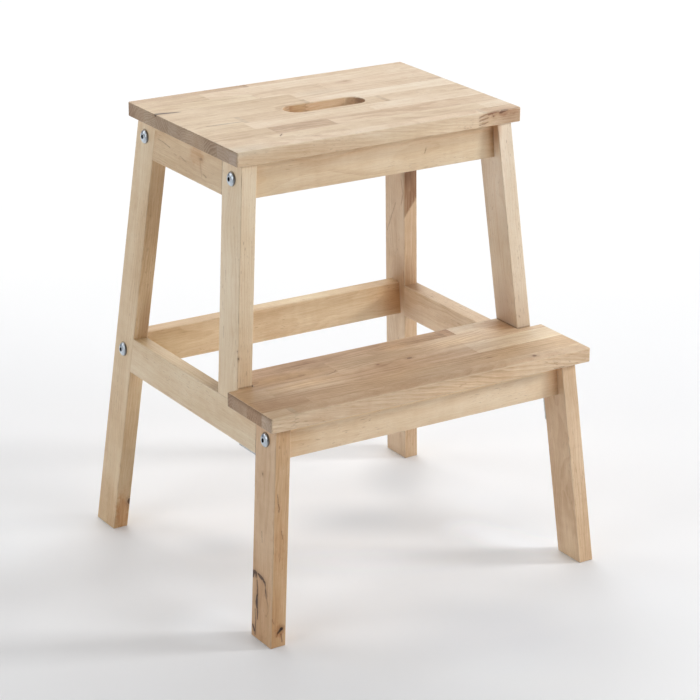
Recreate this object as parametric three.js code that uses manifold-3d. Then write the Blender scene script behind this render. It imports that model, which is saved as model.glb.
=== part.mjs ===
// A two-step wooden step stool, in millimetres, Z up, front (the lower step) towards -Y.
// Two flat side frames lean in towards the top. Four cross rails tie them together, each held
// by a bolt into a barrel nut and by one wooden dowel at each end. The two treads lie on top.
import * as THREE from 'three';
import { mergeVertices } from 'three/addons/utils/BufferGeometryUtils.js';
import Module from 'manifold-3d';

const wasm = await Module();
wasm.setup();

// ---------------------------------------------------------------- driving dimensions
const HEIGHT = 500;              // floor to the top of the upper tread
const TREAD_T = 16;              // thickness of both treads
const GAP = 0.3;                 // space between pieces that touch

const FOOT_HALF_SPAN = 210;      // centre to the outer face of a leg, at the floor
const HALF_DEPTH = 196.5;        // centre to the rear and to the front face of the feet
const SPLAY = 4.86;              // degrees that each side frame leans in
const LEAN = 5.25;               // degrees that the legs lean inside their frame
const LEG_W = 40;                // leg section along the frame
const LEG_T = 18;                // leg section across the frame
const UPPER_LEG_Y = -116.9;      // front face of the upper front leg, carried down to the floor

const RAIL_H = 40;               // height of every rail and apron
const RAIL_T = 18;               // their thickness
const RAIL_TOP = 235.1;          // top of the lower rails
const TOP_UNDER = HEIGHT - TREAD_T;

const TOP_L = 355;               // upper tread along X
const TOP_D = 237;               // upper tread along Y
const TOP_Y = 40.6;              // its centre
const SLOT_L = 100;              // hand slot, end to end
const SLOT_W = 30;               // hand slot, across

const STEP_UNDER = RAIL_TOP + GAP;
const STEP_L = 404;              // lower tread along X
const STEP_FRONT_Y = -186.2;
const STEP_EAR_Y = -95.8;        // rear edge of the ears, just ahead of the upper front legs
const STEP_REAR_Y = -54.3;       // rear edge between the legs
const STEP_NOTCH_X = 169.9;      // half width of the part between the legs

const UPPER_FRONT_RAIL_Y = -54.5;
const UPPER_REAR_RAIL_Y = 133.6;
const MID_REAR_RAIL_Y = 155.5;
const LOWER_FRONT_RAIL_Y = -157;

const TENON_L = 14;              // side rails are tenoned into the legs
const TENON_H = 26;
const TENON_T = 7;

const BOLT_D = 6;
const BOLT_L = 55;               // under the head
const BOLT_HOLE_D = 7;
const BOLT_HEAD_D = 15;
const BOLT_HEAD_H = 4.2;
const BOLT_SOCKET = 4.6;         // across the corners of the hexagon
const BOLT_RISE = 2;             // head above the middle of its rail
const NUT_D = 10;
const NUT_L = 12;
const NUT_DEPTH = 28;            // from the rail's end to the nut's axis
const DOWEL_D = 8;
const DOWEL_L = 30;
const DOWEL_IN_LEG = 12;
const DOWEL_RISE = 12;           // above the bolt

const SCREW_D = 4;
const SCREW_HEAD_D = 8;
const SCREW_L = 30;
const SCREW_INTO_TREAD = 12;
const TOP_SCREW_X = 85;
const STEP_SCREW_X = [115, 40];

const BRACKET_T = 2;
const BRACKET_W = 15;
const BRACKET_RAIL_L = 38;
const BRACKET_LEG_L = 40;
const BRACKET_SCREW_D = 3.5;
const BRACKET_SCREW_HEAD_D = 7;
const BRACKET_SCREW_L = 15;
const BRACKET_SCREW_AT = [13, 30];

// ---------------------------------------------------------------- materials
const wood = (color, roughness = 0.55) => new THREE.MeshStandardMaterial({ color, roughness, metalness: 0 });
const TOP_WOOD = wood(0xe2c49c);
const STEP_WOOD = wood(0xdcba90);
const LEG_WOOD = wood(0xdbbd94);
const RAIL_WOOD = wood(0xe0c299);
const DOWEL_WOOD = wood(0xd9bd92, 0.7);
const ZINC = new THREE.MeshStandardMaterial({ color: 0xbfc6cb, roughness: 0.28, metalness: 1 });
const ZINC_DULL = new THREE.MeshStandardMaterial({ color: 0xa7abad, roughness: 0.42, metalness: 1 });

// ---------------------------------------------------------------- solids
const rad = THREE.MathUtils.degToRad;
const Y = new THREE.Vector3(0, 1, 0);
const Z = new THREE.Vector3(0, 0, 1);
const COS = Math.cos(rad(SPLAY));
const SIN = Math.sin(rad(SPLAY));
const TAN_LEAN = Math.tan(rad(LEAN));
const LEG_ACROSS = LEG_W / Math.cos(rad(LEAN));   // a leg's width measured level

function solid(geometry, matrix) {
  const g = geometry.clone();
  if (matrix) g.applyMatrix4(matrix);
  g.deleteAttribute('normal');
  g.deleteAttribute('uv');
  const merged = mergeVertices(g, 1e-4);
  const index = merged.index.array;
  const tris = [];
  for (let i = 0; i < index.length; i += 3) {
    const [a, b, c] = [index[i], index[i + 1], index[i + 2]];
    if (a !== b && b !== c && a !== c) tris.push(a, b, c);
  }
  return new wasm.Manifold(new wasm.Mesh({
    numProp: 3,
    vertProperties: Float32Array.from(merged.attributes.position.array),
    triVerts: Uint32Array.from(tris),
  }));
}

function box(x0, x1, y0, y1, z0, z1, matrix) {
  const g = new THREE.BoxGeometry(x1 - x0, y1 - y0, z1 - z0);
  g.translate((x0 + x1) / 2, (y0 + y1) / 2, (z0 + z1) / 2);
  return solid(g, matrix);
}

// A cylinder from one point towards a direction.
function rod(from, along, length, radius, segments = 10) {
  const g = new THREE.CylinderGeometry(radius, radius, length, segments);
  g.translate(0, length / 2, 0);
  const m = new THREE.Matrix4().makeRotationFromQuaternion(
    new THREE.Quaternion().setFromUnitVectors(Y, along.clone().normalize()));
  m.setPosition(from);
  return solid(g, m);
}

function prism(points, z0, z1, matrix) {
  const shape = new THREE.Shape(points.map(([x, y]) => new THREE.Vector2(x, y)));
  const g = new THREE.ExtrudeGeometry(shape, { depth: z1 - z0, bevelEnabled: false });
  g.translate(0, 0, z0);
  return solid(g, matrix);
}

function geometryOf(manifold, matrix) {
  const mesh = manifold.getMesh();
  const g = new THREE.BufferGeometry();
  g.setAttribute('position', new THREE.BufferAttribute(Float32Array.from(mesh.vertProperties), 3));
  g.setIndex(new THREE.BufferAttribute(Uint32Array.from(mesh.triVerts), 1));
  if (matrix) g.applyMatrix4(matrix);
  g.computeVertexNormals();
  return g;
}

// ---------------------------------------------------------------- the assembly's groups
const stool = new THREE.Group();
stool.name = 'step_stool';

// Each side frame has its own plane: its first axis runs back along Y, its second up the
// frame, and its third across the thickness. across = 0 is the outer face of the left frame
// and the inner face of the right one.
function sideFrame(side) {
  const up = new THREE.Vector3(-side * SIN, 0, COS);
  const inward = new THREE.Vector3(-side * COS, 0, -SIN);
  const third = side < 0 ? inward.clone() : inward.clone().negate();
  const origin = new THREE.Vector3(side * FOOT_HALF_SPAN, 0, 0);
  if (side > 0) origin.addScaledVector(inward, LEG_T);
  const group = new THREE.Group();
  new THREE.Matrix4().makeBasis(Y, up, third).setPosition(origin)
    .decompose(group.position, group.quaternion, group.scale);
  group.updateMatrix();
  stool.add(group);
  return {
    side, up, inward, group, matrix: group.matrix.clone(),
    // depth into the frame from its outer face, as the third coordinate
    across: (a, b) => (side < 0 ? [a, b] : [LEG_T - b, LEG_T - a]),
    // a point on the outer face, at y and at the height z
    face: (y, z) => new THREE.Vector3(side * FOOT_HALF_SPAN, y, 0).addScaledVector(up, z / COS),
  };
}
const LEFT = sideFrame(-1);
const RIGHT = sideFrame(1);
const treads = new THREE.Group();
const crossRails = new THREE.Group();
stool.add(treads, crossRails);

function add(group, name, manifold, material) {
  group.updateMatrix();
  const b = manifold.boundingBox();
  const centre = new THREE.Vector3(
    (b.min[0] + b.max[0]) / 2, (b.min[1] + b.max[1]) / 2, (b.min[2] + b.max[2]) / 2);
  const place = centre.applyMatrix4(group.matrix.clone().invert());
  const toLocal = new THREE.Matrix4().makeTranslation(-place.x, -place.y, -place.z)
    .multiply(group.matrix.clone().invert());
  const mesh = new THREE.Mesh(geometryOf(manifold, toLocal), material);
  mesh.name = name;
  mesh.position.copy(place);
  group.add(mesh);
  return mesh;
}

// A turned piece: its geometry stands along +Y and is placed by position and rotation.
function addTurned(name, geometry, material, at, along, roll = 0) {
  const mesh = new THREE.Mesh(geometry, material);
  mesh.name = name;
  mesh.quaternion.setFromUnitVectors(Y, along.clone().normalize())
    .multiply(new THREE.Quaternion().setFromAxisAngle(Y, roll));
  mesh.position.copy(at);
  stool.add(mesh);
  return mesh;
}

// ---------------------------------------------------------------- the legs' lines in a frame
// up is measured along the frame from the floor.
const rearFace = (up) => HALF_DEPTH - TAN_LEAN * up;                    // rear leg, rear face
const rearLegFront = (up) => rearFace(up) - LEG_ACROSS;
const lowerFront = (up) => -HALF_DEPTH + TAN_LEAN * up;                 // lower front leg, front face
const lowerRear = (up) => lowerFront(up) + LEG_ACROSS;
const upperFront = (up) => UPPER_LEG_Y + TAN_LEAN * up;                 // upper front leg, front face
const upperRear = (up) => upperFront(up) + LEG_ACROSS;

const railTopUp = RAIL_TOP / COS;
const railUnderUp = railTopUp - RAIL_H;
const apronTopUp = (TOP_UNDER - GAP) / COS;
const apronUnderUp = apronTopUp - RAIL_H;

const aboveTreadLine = () => box(-400, 400, -400, 400, TOP_UNDER - GAP, HEIGHT + 200);
const aboveStepLine = () => box(-400, 400, -400, 400, RAIL_TOP, HEIGHT + 200);
const belowFloor = () => box(-400, 400, -400, 400, -200, 0);

// ---------------------------------------------------------------- bolted joints
// One joint per end of a cross rail: the bolt goes in square to the frame's outer face.
const JOINTS = [];
for (const frame of [LEFT, RIGHT]) {
  const word = frame.side < 0 ? 'left' : 'right';
  const middle = { upper: TOP_UNDER - GAP - RAIL_H / 2, lower: RAIL_TOP - RAIL_H / 2 };
  for (const [key, y, z, rail, leg, nutSide] of [
    ['upper_rear', UPPER_REAR_RAIL_Y, middle.upper, 'upper_rear', 'rear', -1],
    ['upper_front', UPPER_FRONT_RAIL_Y, middle.upper, 'upper_front', 'upper_front', 1],
    ['mid_rear', MID_REAR_RAIL_Y, middle.lower, 'mid_rear', 'rear', 1],
    ['lower_front', LOWER_FRONT_RAIL_Y, middle.lower, 'lower_front', 'lower_front', 1],
  ]) {
    const seat = frame.face(y, z + BOLT_RISE);
    const dowelFace = frame.face(y, z + BOLT_RISE + DOWEL_RISE);
    JOINTS.push({
      name: `${key}_${word}`, frame, rail, leg, nutSide, y, seat,
      inward: frame.inward,
      nut: seat.clone().addScaledVector(frame.inward, LEG_T + GAP + NUT_DEPTH),
      dowel: dowelFace.clone().addScaledVector(frame.inward, LEG_T - DOWEL_IN_LEG),
    });
  }
}

const boltHole = (j) => rod(
  j.seat.clone().addScaledVector(j.inward, -5), j.inward, 5 + BOLT_L + 1, BOLT_HOLE_D / 2);
const dowelHole = (j) => rod(
  j.dowel.clone().addScaledVector(j.inward, -GAP), j.inward, DOWEL_L + 2 * GAP, DOWEL_D / 2 + GAP);
// the nut's hole is blind: it opens on the face that nutSide names
const nutHole = (j) => rod(
  new THREE.Vector3(j.nut.x, j.y - j.nutSide * (NUT_L / 2 + GAP), j.nut.z),
  new THREE.Vector3(0, j.nutSide, 0), NUT_L / 2 + GAP + RAIL_T, NUT_D / 2 + GAP + 0.1, 12);

function boltGeometry() {
  const r = BOLT_D / 2;
  const head = BOLT_HEAD_D / 2;
  const profile = [[0, -BOLT_L], [r - 0.7, -BOLT_L], [r, -BOLT_L + 0.9], [r, 0], [head - 0.4, 0], [head, 0.5]];
  for (let i = 1; i <= 4; i++) {
    const t = (i / 4) * 0.5 * Math.PI;
    profile.push([head * Math.cos(t) * (i < 4 ? 1 : 0), 0.5 + (BOLT_HEAD_H - 0.5) * Math.sin(t)]);
  }
  const turned = solid(new THREE.LatheGeometry(profile.map(([a, b]) => new THREE.Vector2(a, b)), 14));
  const socket = new THREE.CylinderGeometry(BOLT_SOCKET / 2, BOLT_SOCKET / 2, 6, 6);
  socket.translate(0, BOLT_HEAD_H - 2.8 + 3, 0);
  return geometryOf(turned.subtract(solid(socket)));
}

function nutGeometry() {
  const body = solid(new THREE.CylinderGeometry(NUT_D / 2, NUT_D / 2, NUT_L, 12));
  const slot = box(-NUT_D, NUT_D, NUT_L / 2 - 1.2, NUT_L / 2 + 1, -0.6, 0.6);
  return { body, slot };
}

function dowelGeometry() {
  const r = DOWEL_D / 2;
  return new THREE.LatheGeometry([[0, 0], [r - 0.8, 0], [r, 1], [r, DOWEL_L - 1], [r - 0.8, DOWEL_L], [0, DOWEL_L]]
    .map(([a, b]) => new THREE.Vector2(a, b)), 10);
}

for (const j of JOINTS) {
  addTurned(`bolt_${j.name}`, boltGeometry(), ZINC,
    j.seat.clone().addScaledVector(j.inward, -GAP / 3), j.inward.clone().negate());
  // the nut lies along Y and is drilled through along the bolt
  const { body, slot } = nutGeometry();
  const facing = new THREE.Vector3(0, j.nutSide, 0);
  const turn = new THREE.Matrix4().makeRotationFromQuaternion(
    new THREE.Quaternion().setFromUnitVectors(Y, facing)).setPosition(j.nut.x, j.y, j.nut.z);
  const bore = rod(j.nut.clone().addScaledVector(j.inward, -20), j.inward, 40, BOLT_D / 2 + GAP);
  const nut = solid(geometryOf(body.subtract(slot), turn)).subtract(bore);
  add(stool, `barrel_nut_${j.name}`, nut, ZINC_DULL);
  addTurned(`dowel_${j.name}`, dowelGeometry(), DOWEL_WOOD, j.dowel, j.inward);
}

// ---------------------------------------------------------------- corner brackets
// Bent steel strip under the lower side rail and down the back of the lower front leg.
function bracketParts(frame) {
  const [a, b] = frame.across((LEG_T - BRACKET_W) / 2, (LEG_T + BRACKET_W) / 2);
  const at = (up) => lowerRear(up) + GAP;
  const top = railUnderUp - GAP;
  const foot = top - BRACKET_LEG_L * Math.cos(rad(LEAN));
  const lift = BRACKET_T / Math.cos(rad(LEAN));
  const strip = prism([
    [at(top), top], [at(foot), foot], [at(foot) + lift, foot],
    [at(top - BRACKET_T) + lift, top - BRACKET_T],
    [at(top) + BRACKET_RAIL_L, top - BRACKET_T], [at(top) + BRACKET_RAIL_L, top],
  ], a, b, frame.matrix);
  const middle = (a + b) / 2;
  const screws = [];
  for (const [i, d] of BRACKET_SCREW_AT.entries()) {
    const under = new THREE.Vector3(at(top) + d, top - BRACKET_T, middle).applyMatrix4(frame.matrix);
    screws.push({ name: `rail_${i + 1}`, at: under, along: frame.up.clone() });
    const down = top - d * Math.cos(rad(LEAN));
    const back = new THREE.Vector3(at(down) + lift, down, middle).applyMatrix4(frame.matrix);
    const forward = new THREE.Vector3(-Math.cos(rad(LEAN)), Math.sin(rad(LEAN)), 0)
      .transformDirection(frame.matrix);
    screws.push({ name: `leg_${i + 1}`, at: back, along: forward });
  }
  return { strip, screws };
}

function panScrewGeometry() {
  const r = BRACKET_SCREW_D / 2;
  const h = BRACKET_SCREW_HEAD_D / 2;
  return new THREE.LatheGeometry([
    [0, -2.1], [h * 0.55, -1.9], [h, -1], [h, -GAP / 2], [r, -GAP / 2], [r, BRACKET_SCREW_L - 4],
    [0, BRACKET_SCREW_L]].map(([a, b]) => new THREE.Vector2(a, b)), 8);
}

const screwPilot = (s) => rod(
  s.at.clone().addScaledVector(s.along, -1), s.along, BRACKET_SCREW_L + 1 + GAP,
  BRACKET_SCREW_D / 2 + GAP, 8);

for (const frame of [LEFT, RIGHT]) {
  const word = frame.side < 0 ? 'left' : 'right';
  frame.bracket = bracketParts(frame);
  let strip = frame.bracket.strip;
  for (const s of frame.bracket.screws) {
    strip = strip.subtract(rod(s.at.clone().addScaledVector(s.along, -1), s.along, BRACKET_T + 2,
      BRACKET_SCREW_D / 2 + GAP + 0.1, 8));
    addTurned(`bracket_screw_${word}_${s.name}`, panScrewGeometry(), ZINC_DULL, s.at, s.along);
  }
  add(frame.group, `corner_bracket_${word}`, strip, ZINC_DULL);
}

// ---------------------------------------------------------------- the side frames
for (const frame of [LEFT, RIGHT]) {
  const word = frame.side < 0 ? 'left' : 'right';
  const [t0, t1] = frame.across(0, LEG_T);
  const [m0, m1] = frame.across((LEG_T - TENON_T) / 2, (LEG_T + TENON_T) / 2);
  const joints = JOINTS.filter((j) => j.frame === frame);

  // tenons, given by the rail's height range and the leg's face; grow makes the mortise
  const tenon = (face, under, towards, grow) => {
    const low = under + (RAIL_H - TENON_H) / 2 - grow;
    const high = under + (RAIL_H + TENON_H) / 2 + grow;
    const reach = towards * (TENON_L + grow);
    const root = -towards * 4;
    return prism(towards > 0
      ? [[face(low) + root, low], [face(low) + reach, low], [face(high) + reach, high], [face(high) + root, high]]
      : [[face(low) + reach, low], [face(low) + root, low], [face(high) + root, high], [face(high) + reach, high]],
    m0 - grow, m1 + grow, frame.matrix);
  };
  // the upper front leg stands on the lower rail with a stub tenon
  const stub = (grow) => {
    const y = (up) => upperFront(up) + LEG_ACROSS / 2;
    const half = 12 + grow;
    const low = railTopUp - TENON_L - grow;
    const high = railTopUp + 4;
    return prism([[y(low) - half, low], [y(low) + half, low], [y(high) + half, high], [y(high) - half, high]],
      m0 - grow, m1 + grow, frame.matrix);
  };

  // rear leg, floor to the upper tread
  let rear = prism([[rearLegFront(-20), -20], [rearFace(-20), -20], [rearFace(520), 520], [rearLegFront(520), 520]],
    t0, t1, frame.matrix).subtract(aboveTreadLine()).subtract(belowFloor());
  rear = rear.subtract(tenon(rearLegFront, railUnderUp, 1, GAP)).subtract(tenon(rearLegFront, apronUnderUp, 1, GAP));
  for (const j of joints.filter((q) => q.leg === 'rear')) rear = rear.subtract(boltHole(j)).subtract(dowelHole(j));
  add(frame.group, `rear_leg_${word}`, rear, LEG_WOOD);

  // upper front leg, lower rail to the upper tread
  const seatUp = railTopUp + GAP;
  let upper = prism([[upperFront(seatUp), seatUp], [upperRear(seatUp), seatUp], [upperRear(520), 520], [upperFront(520), 520]],
    t0, t1, frame.matrix).subtract(aboveTreadLine());
  upper = upper.add(stub(0)).subtract(tenon(upperRear, apronUnderUp, -1, GAP));
  for (const j of joints.filter((q) => q.leg === 'upper_front')) upper = upper.subtract(boltHole(j)).subtract(dowelHole(j));
  add(frame.group, `upper_front_leg_${word}`, upper, LEG_WOOD);

  // lower front leg, floor to the lower tread
  let lower = prism([[lowerFront(-20), -20], [lowerRear(-20), -20], [lowerRear(260), 260], [lowerFront(260), 260]],
    t0, t1, frame.matrix).subtract(aboveStepLine()).subtract(belowFloor());
  lower = lower.subtract(tenon(lowerRear, railUnderUp, -1, GAP));
  for (const j of joints.filter((q) => q.leg === 'lower_front')) lower = lower.subtract(boltHole(j)).subtract(dowelHole(j));
  for (const s of frame.bracket.screws.filter((q) => q.name.startsWith('leg'))) lower = lower.subtract(screwPilot(s));
  add(frame.group, `lower_front_leg_${word}`, lower, LEG_WOOD);

  // lower side rail, rear leg to lower front leg
  let rail = prism([
    [lowerRear(railUnderUp) + GAP, railUnderUp], [rearLegFront(railUnderUp) - GAP, railUnderUp],
    [rearLegFront(railTopUp) - GAP, railTopUp], [lowerRear(railTopUp) + GAP, railTopUp]], t0, t1, frame.matrix);
  rail = rail.add(tenon(rearLegFront, railUnderUp, 1, 0)).add(tenon(lowerRear, railUnderUp, -1, 0)).subtract(stub(GAP));
  for (const s of frame.bracket.screws.filter((q) => q.name.startsWith('rail'))) rail = rail.subtract(screwPilot(s));
  add(frame.group, `lower_side_rail_${word}`, rail, RAIL_WOOD);

  // upper side apron, rear leg to upper front leg
  const apron = prism([
    [upperRear(apronUnderUp) + GAP, apronUnderUp], [rearLegFront(apronUnderUp) - GAP, apronUnderUp],
    [rearLegFront(apronTopUp + 5) - GAP, apronTopUp + 5], [upperRear(apronTopUp + 5) + GAP, apronTopUp + 5]],
  t0, t1, frame.matrix).subtract(aboveTreadLine())
    .add(tenon(rearLegFront, apronUnderUp, 1, 0)).add(tenon(upperRear, apronUnderUp, -1, 0));
  add(frame.group, `upper_side_apron_${word}`, apron, RAIL_WOOD);
}

// ---------------------------------------------------------------- the treads' screws
// Each screw goes up through a counterbored hole in a cross rail.
const TREAD_SCREWS = [];
for (const [word, x] of [['left', -TOP_SCREW_X], ['right', TOP_SCREW_X]]) {
  TREAD_SCREWS.push({ name: `top_screw_front_${word}`, tread: 'top', rail: 'upper_front', x, y: UPPER_FRONT_RAIL_Y, under: TOP_UNDER });
  TREAD_SCREWS.push({ name: `top_screw_rear_${word}`, tread: 'top', rail: 'upper_rear', x, y: UPPER_REAR_RAIL_Y, under: TOP_UNDER });
}
for (const [word, side] of [['left', -1], ['right', 1]]) {
  for (const [i, x] of STEP_SCREW_X.entries()) {
    TREAD_SCREWS.push({ name: `step_screw_${word}_${i + 1}`, tread: 'step', rail: 'lower_front', x: side * x, y: LOWER_FRONT_RAIL_Y, under: STEP_UNDER });
  }
}
for (const s of TREAD_SCREWS) s.head = new THREE.Vector3(s.x, s.y, s.under + SCREW_INTO_TREAD - SCREW_L);

function treadScrewGeometry() {
  const r = SCREW_D / 2;
  const h = SCREW_HEAD_D / 2;
  return new THREE.LatheGeometry([[0, 0], [h, 0], [h, 0.5], [r, 2.6], [r, SCREW_L - 4.5], [0, SCREW_L]]
    .map(([a, b]) => new THREE.Vector2(a, b)), 8);
}
const treadScrewHole = (s) => {
  const r = SCREW_D / 2 + GAP;
  const h = SCREW_HEAD_D / 2 + GAP;
  const profile = [[0, -60], [h, -60], [h, 0.6 + GAP], [r, 2.8 + GAP], [r, SCREW_L + GAP], [0, SCREW_L + GAP]];
  const g = new THREE.LatheGeometry(profile.map(([a, b]) => new THREE.Vector2(a, b)), 8);
  const m = new THREE.Matrix4().makeRotationFromQuaternion(
    new THREE.Quaternion().setFromUnitVectors(Y, Z)).setPosition(s.head);
  return solid(g, m);
};
for (const s of TREAD_SCREWS) addTurned(s.name, treadScrewGeometry(), ZINC_DULL, s.head, Z);

// ---------------------------------------------------------------- cross rails
// Upright boards between the frames, their ends cut to the frames' slope.
function outsideOf(frame) {
  const [a, b] = frame.side < 0 ? [-300, LEG_T + GAP] : [-GAP, LEG_T + 300];
  return box(-500, 500, -100, 700, a, b, frame.matrix);
}
for (const [name, key, y, top] of [
  ['upper_front_apron', 'upper_front', UPPER_FRONT_RAIL_Y, TOP_UNDER - GAP],
  ['upper_rear_apron', 'upper_rear', UPPER_REAR_RAIL_Y, TOP_UNDER - GAP],
  ['rear_mid_rail', 'mid_rear', MID_REAR_RAIL_Y, RAIL_TOP],
  ['lower_front_apron', 'lower_front', LOWER_FRONT_RAIL_Y, RAIL_TOP],
]) {
  let rail = box(-250, 250, y - RAIL_T / 2, y + RAIL_T / 2, top - RAIL_H, top)
    .subtract(outsideOf(LEFT)).subtract(outsideOf(RIGHT));
  for (const j of JOINTS.filter((q) => q.rail === key)) {
    rail = rail.subtract(boltHole(j)).subtract(dowelHole(j)).subtract(nutHole(j));
  }
  for (const s of TREAD_SCREWS.filter((q) => q.rail === key)) rail = rail.subtract(treadScrewHole(s));
  add(crossRails, name, rail, RAIL_WOOD);
}

// ---------------------------------------------------------------- treads
const slot = new THREE.Shape();
const run = (SLOT_L - SLOT_W) / 2;
slot.moveTo(-run, -SLOT_W / 2);
slot.lineTo(run, -SLOT_W / 2);
slot.absarc(run, 0, SLOT_W / 2, -Math.PI / 2, Math.PI / 2, false);
slot.lineTo(-run, SLOT_W / 2);
slot.absarc(-run, 0, SLOT_W / 2, Math.PI / 2, 1.5 * Math.PI, false);
const slotCut = new THREE.ExtrudeGeometry(slot, { depth: TREAD_T + 20, bevelEnabled: false, curveSegments: 12 });
slotCut.translate(0, TOP_Y, TOP_UNDER - 10);

let top = box(-TOP_L / 2, TOP_L / 2, TOP_Y - TOP_D / 2, TOP_Y + TOP_D / 2, TOP_UNDER, HEIGHT).subtract(solid(slotCut));
for (const s of TREAD_SCREWS.filter((q) => q.tread === 'top')) top = top.subtract(treadScrewHole(s));
add(treads, 'top_tread', top, TOP_WOOD);

const h = STEP_L / 2;
let step = prism([
  [-h, STEP_FRONT_Y], [h, STEP_FRONT_Y], [h, STEP_EAR_Y], [STEP_NOTCH_X, STEP_EAR_Y], [STEP_NOTCH_X, STEP_REAR_Y],
  [-STEP_NOTCH_X, STEP_REAR_Y], [-STEP_NOTCH_X, STEP_EAR_Y], [-h, STEP_EAR_Y]], STEP_UNDER, STEP_UNDER + TREAD_T);
for (const s of TREAD_SCREWS.filter((q) => q.tread === 'step')) step = step.subtract(treadScrewHole(s));
add(treads, 'step_tread', step, STEP_WOOD);

export default stool;
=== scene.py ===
import math
import random

import bmesh
import bpy
import numpy as np
from mathutils import Matrix, Vector


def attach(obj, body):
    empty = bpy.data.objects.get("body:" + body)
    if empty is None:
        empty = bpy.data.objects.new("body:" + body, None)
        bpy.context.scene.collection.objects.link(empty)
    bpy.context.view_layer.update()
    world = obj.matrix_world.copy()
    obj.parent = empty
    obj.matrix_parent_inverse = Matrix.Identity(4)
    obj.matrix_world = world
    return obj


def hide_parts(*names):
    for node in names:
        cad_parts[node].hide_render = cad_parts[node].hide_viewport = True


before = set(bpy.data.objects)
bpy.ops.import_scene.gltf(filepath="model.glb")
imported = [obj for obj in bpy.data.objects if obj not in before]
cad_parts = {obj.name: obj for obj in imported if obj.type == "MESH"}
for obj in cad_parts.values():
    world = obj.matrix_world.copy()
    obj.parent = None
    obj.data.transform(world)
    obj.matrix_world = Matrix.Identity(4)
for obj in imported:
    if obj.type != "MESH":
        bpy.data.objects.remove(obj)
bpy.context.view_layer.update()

# A two-tread wooden step stool. Lengths are in millimetres until a mesh is written, then metres.
# X runs to the stool's right, -Y is its front (the lower tread), Z is up.

# ------------------------------------------------------------------ dimensions
TREAD_T = 16.0
HEIGHT = 500.0
TOP_UNDER = HEIGHT - TREAD_T
FOOT_HALF = 210.0
HALF_DEPTH = 196.5
SPLAY = math.radians(4.86)
LEAN = math.radians(5.25)
LEG_W, LEG_T = 40.0, 18.0
UPPER_LEG_Y = -116.9
RAIL_H, RAIL_T = 40.0, 18.0
RAIL_TOP = 235.1
TOP_L, TOP_D, TOP_Y = 355.0, 237.0, 40.6
SLOT_L, SLOT_W = 100.0, 30.0
STEP_UNDER = 235.4
STEP_L, STEP_FRONT_Y, STEP_EAR_Y, STEP_REAR_Y, STEP_NOTCH_X = 404.0, -186.2, -95.8, -54.3, 169.9
UPPER_FRONT_RAIL_Y, UPPER_REAR_RAIL_Y, MID_REAR_RAIL_Y, LOWER_FRONT_RAIL_Y = -54.5, 133.6, 155.5, -157.0
TENON_L, TENON_H, TENON_T = 14.0, 26.0, 7.0
FIT = 0.04                        # what stays open at a glued joint
BOLT_L, BOLT_HEAD_D, BOLT_HEAD_H, BOLT_RISE = 55.0, 15.0, 4.2, 2.0
NUT_D, NUT_L, NUT_DEPTH = 10.0, 12.0, 28.0
DOWEL_D, DOWEL_L, DOWEL_IN_LEG, DOWEL_RISE = 8.0, 30.0, 12.0, 12.0
SCREW_D, SCREW_HEAD_D, SCREW_L, SCREW_INTO_TREAD = 4.0, 8.0, 30.0, 12.0
BRACKET_T, BRACKET_W, BRACKET_RAIL_L, BRACKET_LEG_L = 2.0, 15.0, 38.0, 40.0
BRACKET_SCREW_AT = (13.0, 30.0)
GAP = 0.3

COS, SIN, TAN = math.cos(SPLAY), math.sin(SPLAY), math.tan(LEAN)
ACROSS = LEG_W / math.cos(LEAN)
APRON_TOP = TOP_UNDER - GAP       # where the upper legs and aprons end, under the upper tread


# ------------------------------------------------------------------ the side frames' planes
def up_of(side):
    return Vector((-side * SIN, 0.0, COS))


def in_of(side):
    return Vector((-side * COS, 0.0, -SIN))


def fp(side, y, up, depth=0.0):
    """A point of a side frame: y, distance up the frame, depth in from its outer face."""
    return Vector((side * FOOT_HALF, y, 0.0)) + up_of(side) * up + in_of(side) * depth


def level(side, line, z, depth):
    """Where a leg's line meets the level plane z, at that depth."""
    up = (z + SIN * depth) / COS
    return fp(side, line(up), up, depth)


def rear_face(up): return HALF_DEPTH - TAN * up
def rear_leg_front(up): return rear_face(up) - ACROSS
def lower_front(up): return -HALF_DEPTH + TAN * up
def lower_rear(up): return lower_front(up) + ACROSS
def upper_front(up): return UPPER_LEG_Y + TAN * up
def upper_rear(up): return upper_front(up) + ACROSS


RAIL_TOP_UP = RAIL_TOP / COS
RAIL_UNDER_UP = RAIL_TOP_UP - RAIL_H
APRON_TOP_UP = APRON_TOP / COS
APRON_UNDER_UP = APRON_TOP_UP - RAIL_H


# ------------------------------------------------------------------ mesh helpers
def link(name, mesh):
    o = bpy.data.objects.new(name, mesh)
    bpy.context.scene.collection.objects.link(o)
    return o


def mesh_of(bm, name):
    me = bpy.data.meshes.new(name)
    bm.to_mesh(me)
    bm.free()
    return me


def hexa_bm(a, b):
    """A closed six-sided solid from two ends of four points each, in mm."""
    bm = bmesh.new()
    va = [bm.verts.new(Vector(p) * 0.001) for p in a]
    vb = [bm.verts.new(Vector(p) * 0.001) for p in b]
    bm.faces.new(va[::-1])
    bm.faces.new(vb)
    for i in range(4):
        j = (i + 1) % 4
        bm.faces.new((va[i], va[j], vb[j], vb[i]))
    bmesh.ops.recalc_face_normals(bm, faces=bm.faces)
    return bm, va, vb


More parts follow.
